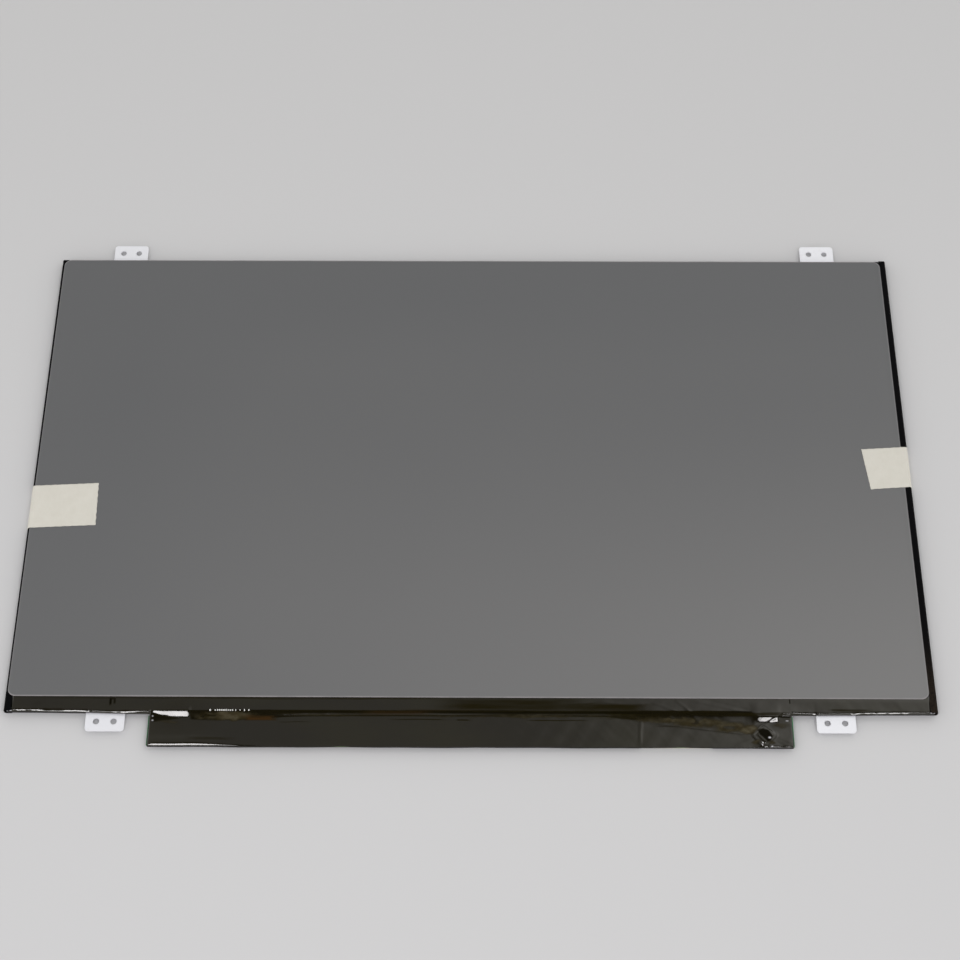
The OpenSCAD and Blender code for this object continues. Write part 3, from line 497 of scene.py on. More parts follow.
def cover_tape_black(g):
    """Glossy black polyester, lightly rippled; matte patches hold painted shade, reflections,
    highlights. light ripples, dull patches, and adhesive showing brown.
    """
    x, y, z = g.axes()
    ripple = g.noise(7, 2, 0.5, (1.5, 1, 1))
    pimple = g.noise(0.9)
    streak = g.noise(5, 3, 0.55, (5, 0.35, 1), shift=3)
    drift_x = x + 5 * (g.noise(3, 2, 0.5, (1, 0.6, 1), shift=6) - 0.5)
    drift_y = y + 0.9 * (g.noise(4, 2, 0.6, (3, 1, 1), shift=8) - 0.5)
    # Painted shade: how far the surface turns to the dull, dark finish below
    painted_light_mix = spots(g, drift_x, drift_y, PAINTED_SHADE_PATCHES)
    painted_light_mix = painted_light_mix * (0.78 + 0.5 * g.smooth(streak, 0.35, 0.7))
    # Painted reflection of warm light, brown where the tape bends
    brown = spots(g, drift_x, drift_y, PAINTED_BROWN_REFLECTIONS) * g.smooth(streak, 0.2, 0.55)
    # Painted reflection, beige, with ragged outlines and gaps
    torn_y = y + 2.2 * (g.noise(2.2, 3, 0.6, (1.6, 1, 1), shift=12) - 0.5)
    beige = spots(g, drift_x, torn_y, PAINTED_BEIGE_REFLECTIONS, oval=True)
    beige = beige * (0.4 + 0.6 * g.smooth(ripple, 0.3, 0.6))
    beige = beige * (1 - spots(g, drift_x, torn_y, BEIGE_GAPS))
    grain = g.smooth(g.noise(1.8, 3, 0.6, (1.6, 1, 1), shift=14), 0.35, 0.7)
    # Painted shade: near black in the hollows, the deepest part of the shadow line and the dents
    black = painted_shade_in_hollows(g, drift_x * 0.15 + x * 0.85, drift_y * 0.15 + y * 0.85, 0.28)
    deep = spots(g, drift_x, drift_y, DEEP_PATCHES)
    black = g.largest([black, deep, spots(g, x, y, PAINTED_DENT_SHADE)])
    # Painted highlights: pale glints on the folds
    pale = spots(g, x, y, PAINTED_GLINTS, oval=True)
    olive = g.smooth(g.noise(11, 3, 0.5, (3, 1, 1), shift=9), 0.35, 0.7)
    tone = g.mix(olive, (0.0052, 0.0038, 0.0008), (0.0082, 0.0068, 0.0014))
    painted_light_tone = g.mix(streak, (0.008, 0.006, 0.0012), (0.013, 0.010, 0.002))
    painted_light_tone = g.mix(black, painted_light_tone, (0.0036, 0.0028, 0.0005))
    beige_tone = g.mix(grain, (0.036, 0.028, 0.013), (0.078, 0.067, 0.042))
    painted_light_tone = g.mix(beige, painted_light_tone, beige_tone)
    painted_light_tone = g.mix(brown, painted_light_tone, (0.037, 0.0185, 0.0055))
    painted_light_tone = g.mix(pale, painted_light_tone, (0.60, 0.60, 0.63))
    # Painted shade: the tape's front face under the board's edge is made dark and dull
    painted_fold_shade = g.band(z, 0.5, 2.04, 0.1)
    painted_light_tone = g.mix(painted_fold_shade, painted_light_tone, (0.0030, 0.0028, 0.0026))
    # Every painted shade, reflection and highlight also turns the surface to that dull finish
    for spot, share in ((black, 1), (beige, 2.0), (brown, 1.2), (pale, 1), (painted_fold_shade, 0.95)):
        painted_light_mix = g.math("MAXIMUM", painted_light_mix, spot * share)
    normal = g.bump(ripple * 0.9 + pimple * 0.1, 0.03)
    gloss = g.add("ShaderNodeBsdfPrincipled", None, {
        "Base Color": tone, "Roughness": 0.085 + 0.05 * ripple, "IOR": 1.6,
        "Specular Tint": (1.0, 0.985, 0.94, 1), "Normal": normal,
    })
    matt = g.add("ShaderNodeBsdfPrincipled", None, {
        "Base Color": painted_light_tone, "Roughness": 0.28, "IOR": 1.6,
        "Specular IOR Level": 0.04, "Normal": normal,
    })
    both = g.add("ShaderNodeMixShader", None, {0: painted_light_mix, 1: gloss, 2: matt})
    g.add("ShaderNodeOutputMaterial", inputs={"Surface": both})


def edge_tape_black(g):
    """Matte black tape with a faint weave of its backing, browner at the lower end of the
    right-hand tape.
    """
    x, y, z = g.axes()
    weave = g.noise(0.5, 3, 0.6)
    long_wave = g.noise(12)
    # Browner towards the lower end of the right-hand tape
    browner_corner = g.smooth(x, 150, 157) * (1 - g.smooth(y, -92, -62)) * g.smooth(weave, 0.3, 0.6)
    tone = g.mix(weave, (0.0012, 0.0012, 0.0016), (0.0030, 0.0028, 0.0034))
    tone = g.mix(browner_corner, tone, (0.022, 0.016, 0.011))
    height = weave * 0.3 + long_wave
    g.surface(tone, 0.52 + 0.12 * weave, height, 0.05, specular_ior_level=0.04)


def film_rim(g, x, y):
    """1 at the film's cut edge, fading to 0 half a millimetre inside it; stronger along the top and
    bottom edges, as a painted highlight on the film's own pale edge.
    """
    turn_x, turn_y = math.cos(FILM_TURN), math.sin(FILM_TURN)
    off_x = x - FILM_MIDDLE.x
    off_y = y - FILM_MIDDLE.y
    over_x = abs(off_x * turn_x + off_y * turn_y) - (FILM_WIDE - FILM_R)
    over_y = abs(off_y * turn_x - off_x * turn_y) - (FILM_TALL - FILM_R)
    out_y = g.math("MAXIMUM", over_y, 0.0)
    corner = g.length(g.math("MAXIMUM", over_x, 0.0), out_y)
    inner = g.math("MINIMUM", g.math("MAXIMUM", over_x, over_y), 0.0)
    rim = g.smooth(corner + inner - FILM_R, -0.55, -0.12)
    level = g.smooth(out_y, 0.0, 1.5)
    return rim * (0.3 + 0.7 * level)


def transport_film(g):
    """Hazy grey film over the dark screen: painted sheen lightens it low on the right and in the
    middle; pale edge.
    """
    x, y, z = g.axes()
    cloud = g.noise(60, 3, 0.5, shift=2)
    grain = g.noise(0.4)
    # Painted sheen: lighter towards the right and towards the bottom
    along = 0.18 + 0.82 * g.add(
        "ShaderNodeMapRange", None, {"Value": x, "From Min": -150, "From Max": 150}
    )
    down = 1 - g.smooth(y, -95, 40)
    tone = g.mix(along * down, (0.108, 0.111, 0.115), (0.181, 0.180, 0.179))
    # Painted sheen: a little lighter in the middle
    middle = g.band(y, -50, 40, 40) * g.band(x, -60, 160, 80)
    tone = g.mix(middle * 0.14, tone, (0.17, 0.168, 0.165))
    tone = g.mix(cloud * 0.10, tone, (0.16, 0.16, 0.155))
    tone = g.mix(grain * 0.03, tone, (0.30, 0.30, 0.30))
    uneven = g.smooth(g.noise(9, 2, 0.6, shift=4), 0.25, 0.65)
    # The pale cut edge, partly the film's own whitening and partly a painted highlight
    tone = g.mix(film_rim(g, x, y) * (0.45 + 0.55 * uneven), tone, (0.27, 0.255, 0.26))
    g.surface(tone, 0.42 + 0.06 * cloud, grain * 0.2 + cloud, 0.06)


def masking_paper(g):
    """Creped cream paper with soft cross creases."""
    crepe = g.noise(0.55, 3, 0.6, (1, 3.2, 1))
    soft = g.noise(3.2, 3, 0.55, shift=5)
    fibre = g.noise(0.14, 2, 0.6)
    tone = g.mix(soft, (0.60, 0.575, 0.50), (0.70, 0.68, 0.61))
    tone = g.mix(crepe * 0.35, tone, (0.74, 0.73, 0.68))
    g.surface(tone, 0.72 + 0.1 * crepe, crepe * 0.6 + soft + fibre * 0.15, 0.06)


def print_white(g):
    ink = g.noise(0.2, 2, 0.6)
    g.surface(g.mix(ink, (0.62, 0.62, 0.60), (0.85, 0.85, 0.83)), 0.55, ink, 0.004)


# Mesh helpers

def mesh_piece(name, points, faces, finish, replaced):
    """Makes a piece from points in millimetres, which stands for one CAD node."""
    mesh = bpy.data.meshes.new(name)
    mesh.from_pydata([tuple(p * MM for p in point) for point in points], [], faces)
    mesh.materials.append(finishes[finish])
    piece = add_piece(name, mesh)
    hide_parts(replaced)
    return piece


def add_piece(name, mesh):
    """Adds a mesh as a smooth piece that rides on the one body."""
    piece = bpy.data.objects.new(name, mesh)
    scene.collection.objects.link(piece)
    for polygon in piece.data.polygons:
        polygon.use_smooth = True
    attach(piece, "root")
    return piece


def sheet_faces(keep):
    """Quads of a grid whose points run row by row within each column, where keep is true."""
    rows = keep.shape[1] + 1
    corners = [i * rows + j for i, j in zip(*np.nonzero(keep))]
    return [(a, a + rows, a + rows + 1, a + 1) for a in corners]


@contextmanager
def opened(mesh):
    """Opens a mesh for a change to its points and faces."""
    work = bmesh.new()
    work.from_mesh(mesh)
    yield work
    work.to_mesh(mesh)
    work.free()


def thicken(piece, thickness):
    """Gives a sheet its thickness, inwards from its outer face."""
    with opened(piece.data) as work:
        loose = [v for v in work.verts if not v.link_faces]
        bmesh.ops.delete(work, geom=loose, context="VERTS")
    solid = piece.modifiers.new("thickness", "SOLIDIFY")
    solid.thickness = thickness * MM
    solid.offset = -1
    solid.use_even_offset = False


def waves(x, s, seed, count, amplitude, x_size, s_size):
    """Sum of sine waves over a sheet, the same on each run; sizes are ranges of wavelength."""
    draw = np.random.default_rng(seed)
    total = np.zeros(np.broadcast(x, s).shape)
    for _ in range(count):
        wave_x = 2 * math.pi / draw.uniform(*x_size) * draw.choice([-1, 1])
        wave_s = 2 * math.pi / draw.uniform(*s_size)
        total += np.sin(wave_x * x + wave_s * s + draw.uniform(0, 2 * math.pi))
    return amplitude * total / math.sqrt(count)


def smooth_step(value, low, high):
    t = np.clip((value - low) / (high - low), 0, 1)
    return t * t * (3 - 2 * t)


def along_path(keys, counts):
    """Samples each stretch between key points; keys has shape (columns, keys, 2)."""
    parts = []
    for k, count in enumerate(counts):
        share = np.linspace(0, 1, count, endpoint=False)[None, :, None]
        parts.append(keys[:, k, None, :] * (1 - share) + keys[:, k + 1, None, :] * share)
    parts.append(keys[:, -1:, :])
    return np.concatenate(parts, axis=1)


def soften(path):
    """Rounds the creases of sampled paths, keeping the first and last points."""
    path[:, 1:-1] = 0.25 * path[:, 2:] + 0.5 * path[:, 1:-1] + 0.25 * path[:, :-2]
    return path


# Cover tape

tape_low, tape_high = box_mm("front_cover_tape")
board_low, board_high = box_mm("control_board")
side_low, side_high = box_mm("right_edge_tape")
inductor_low, inductor_high = box_mm("power_inductor")
housing_low, housing_high = box_mm("connector_housing")

TAPE_END = tape_high.x
TAPE_FRONT = tape_high.y
GLASS_TOP = side_high.z
DECK_END = board_high.x - 0.4
DECK_Z = 2.2
EDGE_Y = side_low.y - 0.1
LIP_START = -89.7
# How closely the tape is sampled along X, over the board and on the corner flaps
DECK_PITCH = 0.5
FLAP_PITCH = 0.45
# The tent over the inductor: half width of its top and its foot, how far it stands over the
# inductor, and where it fades towards the slope; then the soft line round its foot
TENT_TOP = 2.0
TENT_FOOT = 3.5
TENT_CLEAR = 0.13
TENT_FADE = (97.2, 98.4)
FILLET_REACH = 0.16
FILLET_RISE = 0.04
# Heights between which a face starts to count as one that looks up
LOOKS_UP = (2.0, 2.15)
# Middle of the two rough facets beside the ends of the ridge, with X taken on either side
FACET_X = 102
FACET_Y = -95.4
# Windows in the corner flaps for the ears: middle, half width and height
EAR_X = 125.2
EAR_HALF = 7.0
EAR_CLEAR_Z = 1.9
# The short end that wraps round each corner of the module: its length, top and bottom
WRAP = 1.3
WRAP_TOP = 2.3
WRAP_FOOT = 0.5
# Where the bulge above the board's lower edge starts and peaks, and where the tape turns down
BULGE_START = -102.2
BULGE_PEAK = -104.3
BRIM_Z = 2.12
WALL_Z = 1.98
BRIM_ROUND = 0.06
# Under the board: how low the fold hangs, where it lies against the board, and its end
HANG = 0.3
FOLD_FLAT = board_low.y + 0.9
FOLD_END = board_low.y + 3.0
# Corner flaps: where they turn down, how round that is, and where they end underneath
SHOULDER_Z = 2.35
SHOULDER_IN = 0.12
SHOULDER_DROP = 0.14
FLAP_END = tape_low.y + 14.8
UNDER_Z = 0.2

# Height of the ridge over the driver chips, along X
RIDGE = [
    (-109.9, 2.90), (-108.4, 3.02), (-106, 3.08), (-102, 3.14), (-96.8, 3.14), (-95.2, 2.88),
    (-88.5, 2.90), (-60, 2.88), (-53, 2.84), (-40, 2.78), (-26, 2.80), (-13, 2.92), (13, 2.92),
    (24, 2.80), (42, 2.78), (52, 2.82), (60, 2.92), (87, 2.92), (96, 2.90), (98.3, 2.99),
    (105.2, 2.97), (106.4, 2.88), (109.9, 2.81),
]
# Where that ridge lies, along X
RIDGE_Y = [
    (-109.9, -94.38), (-108.7, -93.75), (-96.6, -93.75), (-94, -93.6), (-84, -93.45),
    (96.2, -93.5), (98.1, -95.35), (105.2, -95.5), (106.6, -94.2), (109.9, -94.38),
]
# Foot of the slope below the ridge, along X
FOOT = [
    (-109.9, -97.7), (-108.4, -97.7), (-106, -97.4), (-103, -97.0), (-101.5, -96.7),
    (-96.7, -96.5), (-95.6, -96.9), (-92, -97.1), (-80, -97.0), (-72, -96.5), (-64, -95.7),
    (-56, -95.4), (-46, -95.25), (-40, -95.2), (46, -95.2), (56, -96.6), (70, -98.0),
    (94, -100.9), (97, -98.6), (98.2, -97.5), (105.3, -97.6), (106.5, -97.3), (109.9, -97.0),
]
# Middle of the slope as shares of its run and of its fall, along X
SLOPE_RUN = [
    (-109.9, 0.3), (-108.4, 0.25), (-106, 0.507), (-103, 0.677), (-101.5, 0.79), (-96.7, 0.847),
    (-95.6, 0.5), (-70, 0.5), (-56, 0.56), (46, 0.6), (56, 0.55), (70, 0.38), (94, 0.24),
    (97, 0.4), (98.2, 0.89), (105.3, 0.89), (106.5, 0.32),
]
SLOPE_FALL = [
    (-109.9, 0.5), (-108.4, 0.51), (-106, 0.883), (-103, 1.0), (-101.5, 1.04), (-96.7, 1.04),
    (-95.6, 0.5), (-72, 0.5), (-62, 0.4), (-46, 0.34), (-30, 0.3), (46, 0.3), (56, 0.6),
    (94, 0.62), (97, 0.4), (98.2, 0.98), (105.3, 0.98), (106.5, 0.75), (109.9, 0.75),
]
# Slack of the tape just above its lower edge, along X
BULGE = [
    (-109.9, 0.16), (-108.5, 0.34), (-94, 0.37), (-88, 0.27), (-80, 0.13), (-72, 0.03), (-68, 0),
    (96, 0), (100, 0.10), (104, 0.16), (108.5, 0.14), (109.9, 0.10),
]
# Flaps outwards from the board's ends: height of the upper edge, how far it hangs out,
# and the run of the slope under it
LEFT_LIP = [(109.9, 2.91), (112.5, 2.80), (117, 2.67), (122, 2.615)]
RIGHT_LIP = [(109.9, 2.82), (112.5, 2.74), (117, 2.65), (122, 2.615)]
LEFT_OUT = [(109.9, 0.85), (121, 0.75), (126, 0.6), (131, 0.4), (140, 0.25), (150, 0.05), (157, 0)]
RIGHT_OUT = [(109.9, 0.85), (118, 0.85), (131, 0.72), (138, 0.45), (151, 0.4), (157.5, 0.3)]
LEFT_RUN = [
    (109.9, 0.7), (113.5, 0.7), (114.5, 0.86), (117, 0.76), (120, 0.68), (120.6, 0.42),
    (121, 0.64), (122.5, 0.62), (123, 0.4), (130, 0.4), (130.8, 0.62), (139, 0.62), (140, 0.74),
    (146, 0.78), (147, 0.62), (150.5, 0.6), (151.3, 0.4), (152.2, 0.4), (153, 0.64),
    (155.5, 0.64), (156.2, 0.36),
]
RIGHT_RUN = [
    (109.9, 0.7), (117.3, 0.5), (117.6, 0.74), (118.2, 0.74), (118.8, 0.36), (129.5, 0.36),
    (130.5, 0.66), (133.5, 0.64), (134.2, 0.45), (135.2, 0.6), (150.5, 0.6), (151.5, 0.44),
    (157, 0.42),
]
# Folds in the flat part: two ends, height and width, all in millimetres
CREASES = [
    ((58.4, -96.6), (57.8, -105.4), 0.07, 0.34),
    ((62.0, -90.2), (74.0, -95.0), 0.03, 0.35),
    ((70.5, -89.6), (79.0, -96.6), 0.035, 0.4),
    ((-109.8, -98.6), (-104.0, -95.7), 0.05, 0.35),
    ((-109.8, -100.8), (-99.0, -98.9), -0.03, 0.5),
    ((-91.5, -95.4), (-89.0, -97.4), 0.05, 0.4),
    ((20.4, -96.9), (39.2, -96.8), -0.04, 0.22),
    ((-5.2, -97.0), (0.6, -96.9), -0.05, 0.22),
    ((60.0, -97.4), (94.0, -101.6), 0.05, 0.45),
    ((74.0, -97.6), (82.0, -99.2), -0.04, 0.4),
    ((100.6, -98.2), (104.8, -95.6), 0.06, 0.35),
    ((104.6, -102.6), (109.6, -104.6), 0.05, 0.4),
    ((103.6, -104.0), (107.0, -106.2), -0.04, 0.35),
    ((96.4, -103.6), (90.5, -105.6), 0.04, 0.4),
    ((98.6, -105.2), (95.0, -106.3), -0.03, 0.3),
    ((-123.5, -88.6), (-123.3, -91.6), -0.06, 0.30),
    ((44.0, -89.8), (56.0, -92.2), 0.03, 0.5),
    ((76.0, -89.6), (91.0, -93.0), 0.04, 0.45),
    ((82.0, -90.0), (96.0, -93.4), -0.03, 0.4),
    ((73.6, -92.4), (78.6, -98.0), 0.08, 0.32),
    ((66.0, -93.6), (69.5, -96.4), 0.05, 0.3),
    ((84.0, -95.2), (90.0, -99.6), -0.05, 0.5),
]


def table_at(table, x):
    places, values = zip(*table)
    return np.interp(x, places, values)


def crease_height(x, y):
    """Small ridges and valleys along straight folds, fading at both ends."""
    total = np.zeros_like(x)
    for start, end, height, width in CREASES:
        a = np.array(start)
        run = np.array(end) - a
        length = np.hypot(*run)
        share = ((x - a[0]) * run[0] + (y - a[1]) * run[1]) / length ** 2
        off = ((x - a[0]) * run[1] - (y - a[1]) * run[0]) / length
        fade = smooth_step(share, -0.12, 0.2) * (1 - smooth_step(share, 0.8, 1.12))
        total += height * fade * np.exp(-(off / width) ** 2)
    return total


def tent_height(x, y):
    """How far the tape stands above the flat part over the inductor, a square turned 45 degrees."""
    middle = (inductor_low + inductor_high) / 2
    u = np.abs((x - middle.x) + (y - middle.y)) / math.sqrt(2)
    v = np.abs((y - middle.y) - (x - middle.x)) / math.sqrt(2)
    away = (u ** 6 + v ** 6) ** (1 / 6)
    rise = inductor_high.z + TENT_CLEAR - DECK_Z
    turn = np.arctan2(y - middle.y, x - middle.x)
    slack = 0.22 * np.sin(turn + 2.2) + 0.16 * np.sin(3 * turn + 0.6) + 0.08 * np.sin(5 * turn)
    return rise * (1 - smooth_step(away, TENT_TOP, TENT_FOOT + slack))


def stack_keys(x, keys):
    """Key points (Y, Z) for each X as one array; a plain number holds for the whole row."""
    return np.stack([np.stack(np.broadcast_arrays(x, *key)[1:], -1) for key in keys], 1)


def deck_keys(x):
    """Key points (Y, Z) of the tape's outer face where it covers the board."""
    ridge = table_at(RIDGE, x)
    ridge_y = table_at(RIDGE_Y, x)
    foot = table_at(FOOT, x)
    slack = table_at(BULGE, x)
    middle_y = ridge_y + (foot - ridge_y) * table_at(SLOPE_RUN, x)
    middle_z = ridge + (DECK_Z - ridge) * table_at(SLOPE_FALL, x)
    back = board_low.z - TAPE_T
    edge = board_low.y - TAPE_T + 0.06 * np.sin(x / 9.0) + 0.04 * np.sin(x / 3.7 + 1)
    brim = DECK_Z + 0.85 * slack
    bevel = (brim - BRIM_Z) / 0.42 * (0.3 + 0.7 * smooth_step(slack, 0, 0.06))
    return stack_keys(x, [
        (TAPE_FRONT, GLASS_TOP), (LIP_START, GLASS_TOP),
        (ridge_y + 0.35, ridge + 0.01), (ridge_y - 0.05, ridge), (middle_y, middle_z),
        (foot, DECK_Z), (BULGE_START, DECK_Z + 0.2 * slack), (BULGE_PEAK, DECK_Z + slack),
        (edge + bevel + BRIM_ROUND, brim), (edge + BRIM_ROUND, BRIM_Z), (edge, WALL_Z),
        (edge, back - HANG + 0.14), (edge + 0.12, back - HANG), (FOLD_FLAT, back),
        (FOLD_END, back),
    ])


def corner_keys(x):
    """Key points (Y, Z) of the tape's outer face where it folds over the bare edge."""
    away = np.abs(x)
    fade = smooth_step(away, DECK_END, DECK_END + 2)
    pairs = ((LEFT_LIP, RIGHT_LIP), (LEFT_OUT, RIGHT_OUT), (LEFT_RUN, RIGHT_RUN))
    rise, out, run = (
        np.where(x < 0, table_at(left, away), table_at(right, away)) for left, right in pairs
    )
    lip = rise + fade * waves(x, 0 * x, 8, 4, 0.010, (3, 14), (50, 90))
    shoulder = SHOULDER_Z + fade * waves(x, 0 * x, 5, 5, 0.012, (2.2, 11), (50, 90))
    run = run + fade * 0.05 * waves(x, 0 * x, 12, 5, 1, (1.6, 9), (50, 90))
    face = EDGE_Y - out
    return stack_keys(x, [
        (TAPE_FRONT, GLASS_TOP), (LIP_START, GLASS_TOP),
        (face + SHOULDER_IN + run, lip), (face + SHOULDER_IN, shoulder),
        (face, shoulder - SHOULDER_DROP), (EDGE_Y - 0.6 * out, 0.9),
        (EDGE_Y + 0.2 - 0.5 * out, 0.4), (EDGE_Y + 0.7, UNDER_Z), (FLAP_END, UNDER_Z),
    ])


def wrinkle(x, y, z):
    """Adds the tape's creases and its slight ripples to the faces that look up."""
    top = smooth_step(z, *LOOKS_UP) * (1 - smooth_step(y, TAPE_FRONT - 1.6, TAPE_FRONT - 0.6))
    folds = crease_height(x, y)
    ripple = waves(x, y, 3, 9, 0.014, (6, 30), (5, 18))
    small = waves(x, y, 4, 8, 0.0025, (2, 5), (2, 6))
    facet = 1 - smooth_step(np.abs(np.abs(x) - FACET_X), 5.5, 7)
    facet = facet * (1 - smooth_step(np.abs(y - FACET_Y), 1, 2))
    rough = facet * waves(x, y, 9, 6, 0.010, (2.2, 6), (4, 9))
    return z + top * (folds + ripple + small + rough)


def raise_tent(x, y, z):
    """Lifts the flap over the board to its tent, with a soft line where the two meet."""
    tent = tent_height(x, y) * smooth_step(-y, *TENT_FADE)
    near = np.clip(1 - np.abs(DECK_Z + tent - z) / FILLET_REACH, 0, 1)
    fillet = FILLET_RISE * near ** 2 * smooth_step(tent, 0, 0.15)
    return np.where(z > 2.05, np.maximum(z, DECK_Z + tent) + fillet, z)


def middles(grid):
    """Value of a grid at the middle of each of its quads."""
    return (grid[1:, 1:] + grid[:-1, :-1]) / 2


def deck_quads(x, y, z):
    """Quads of the flap over the board, without the notch for the connector."""
    notch = (x > housing_low.x - 0.5) & (x < housing_high.x + 0.5)
    return ~(notch & (z < board_low.z))


def corner_quads(x, y, z):
    """Quads of a corner flap, without the ear's window and what its end leaves open."""
    window = (np.abs(np.abs(x) - EAR_X) < EAR_HALF) & (z < EAR_CLEAR_Z)
    past = np.abs(x) > TAPE_END
    return ~window & ~(past & ((y > EDGE_Y + 0.02) | (z > WRAP_TOP) | (z < WRAP_FOOT)))


def cover_tape():
    """One sheet: a band along the glass, a flap over the board, and a flap at each corner."""
    deck_x = np.linspace(-DECK_END, DECK_END, round(2 * DECK_END / DECK_PITCH) + 1)
    wrap = TAPE_END + WRAP
    side_x = np.linspace(DECK_END, wrap, round((wrap - DECK_END) / FLAP_PITCH) + 1)
    deck_counts = [3, 9, 3, 6, 4, 18, 7, 4, 5, 2, 3, 2, 3, 2]
    corner_counts = [3, 9, 5, 2, 5, 4, 3, 3]
    points = []
    faces = []
    for x, keys_of, counts, quads_of in (
        (deck_x, deck_keys, deck_counts, deck_quads),
        (-side_x[::-1], corner_keys, corner_counts, corner_quads),
        (side_x, corner_keys, corner_counts, corner_quads),
    ):
        path = soften(along_path(keys_of(x), counts))
        y, z = path[:, :, 0], path[:, :, 1]
        grid_x = np.repeat(x[:, None], y.shape[1], 1)
        if keys_of is deck_keys:
            z = raise_tent(grid_x, y, z)
        z = wrinkle(grid_x, y, z)
        keep = quads_of(middles(grid_x), middles(y), middles(z))
        start = len(points)
        points += list(zip(grid_x.ravel(), y.ravel(), z.ravel()))
        faces += [tuple(start + i for i in face[::-1]) for face in sheet_faces(keep)]
    piece = mesh_piece("cover_tape", points, faces, "cover_tape_black", "front_cover_tape")
    with opened(piece.data) as work:
        bmesh.ops.remove_doubles(work, verts=work.verts, dist=0.004 * MM)
    thicken(piece, TAPE_T)
    return piece


# Transport film

# Steps round each corner of the film, and along its long and short sides, 2 mm each
CORNER_STEPS = 8
SIDE_STEPS = [round(FILM_WIDE), round(FILM_TALL)]


def film_outline(inset):
    """Points round the film at one inset, the same number whatever the inset."""
    radius = max(FILM_R - inset, 0.4)
    corners = []
    for index, (side_x, side_y) in enumerate([(1, 1), (-1, 1), (-1, -1), (1, -1)]):
        centre = Vector((
            side_x * (FILM_WIDE - inset - radius), side_y * (FILM_TALL - inset - radius),
        ))
        corner = []
        for step in range(CORNER_STEPS + 1):
            angle = math.radians(90 * (index + step / CORNER_STEPS))
            corner.append(centre + radius * Vector((math.cos(angle), math.sin(angle))))
        corners.append(corner)
    points = []
    for index, corner in enumerate(corners):
        following = corners[(index + 1) % 4][0]
        steps = SIDE_STEPS[index % 2]
        points += corner + [corner[-1].lerp(following, i / steps) for i in range(1, steps)]
    turned = Matrix.Rotation(FILM_TURN, 2)
    return [FILM_MIDDLE.xy + turned @ p for p in points]


# Insets of the film's rings and the height of its upper face there
FILM_RINGS = [
    (0.0, 2.975), (0.10, 3.015), (0.38, 3.105), (0.62, 3.105), (1.0, 3.075), (1.7, 3.05),
    (2.4, 3.05), (3.2, 3.06), (4.4, 3.07), (7.0, 3.072), (12.0, 3.07),
]
# Height of the film's lower face at its edge, and from the ring named here inwards
EDGE_UNDER_Z = 2.945
FLAT_UNDER_Z = 2.992
FLAT_RING = 5


def film_sheet():
    """The film as rings from its cut edge inwards, with a rolled burr round the edge."""
    rings = []
    for inset, height in FILM_RINGS:
        fade = 1 / (1 + (inset / 1.2) ** 2)
        ring = []
        for p in film_outline(inset):
            lift = 0.012 * math.sin(p.x / 11.0) + 0.010 * math.sin(p.y / 7.0 + p.x / 23.0)
            ring.append((p.x, p.y, height + lift * fade))
        rings.append(ring)
    size = len(rings[0])
    inner = (len(rings) - 1) * size
    under = inner + size
    points = [p for ring in rings for p in ring]
    points += [(x, y, EDGE_UNDER_Z) for x, y, z in rings[0]]
    points += [(x, y, FLAT_UNDER_Z) for x, y, z in rings[FLAT_RING]]
    pairs = [(i, (i + 1) % size) for i in range(size)]
    faces = []
    for a in range(0, inner, size):
        faces += [(a + i, a + j, a + size + j, a + size + i) for i, j in pairs]
    faces.append(tuple(inner + i for i in range(size)))
    for i, j in pairs:
        faces.append((i, under + i, under + j, j))
        faces.append((under + i, under + size + i, under + size + j, under + j))
    faces.append(tuple(under + size + i for i in reversed(range(size))))
    piece = mesh_piece("film_sheet", points, faces, "transport_film", "protective_film")
    with opened(piece.data) as work:
        flat = [f for f in work.faces if len(f.verts) > 4]
        bmesh.ops.triangulate(work, faces=flat)


# Masking tapes

# Distance of the module's side from its middle, how far inside it the strips start to fold
# down, the height of their upper face, and how closely that face is sampled
SIDE_X = side_high.x
FOLD_IN = 0.45
STRIP_TOP = 3.22
STRIP_PITCH = 0.5


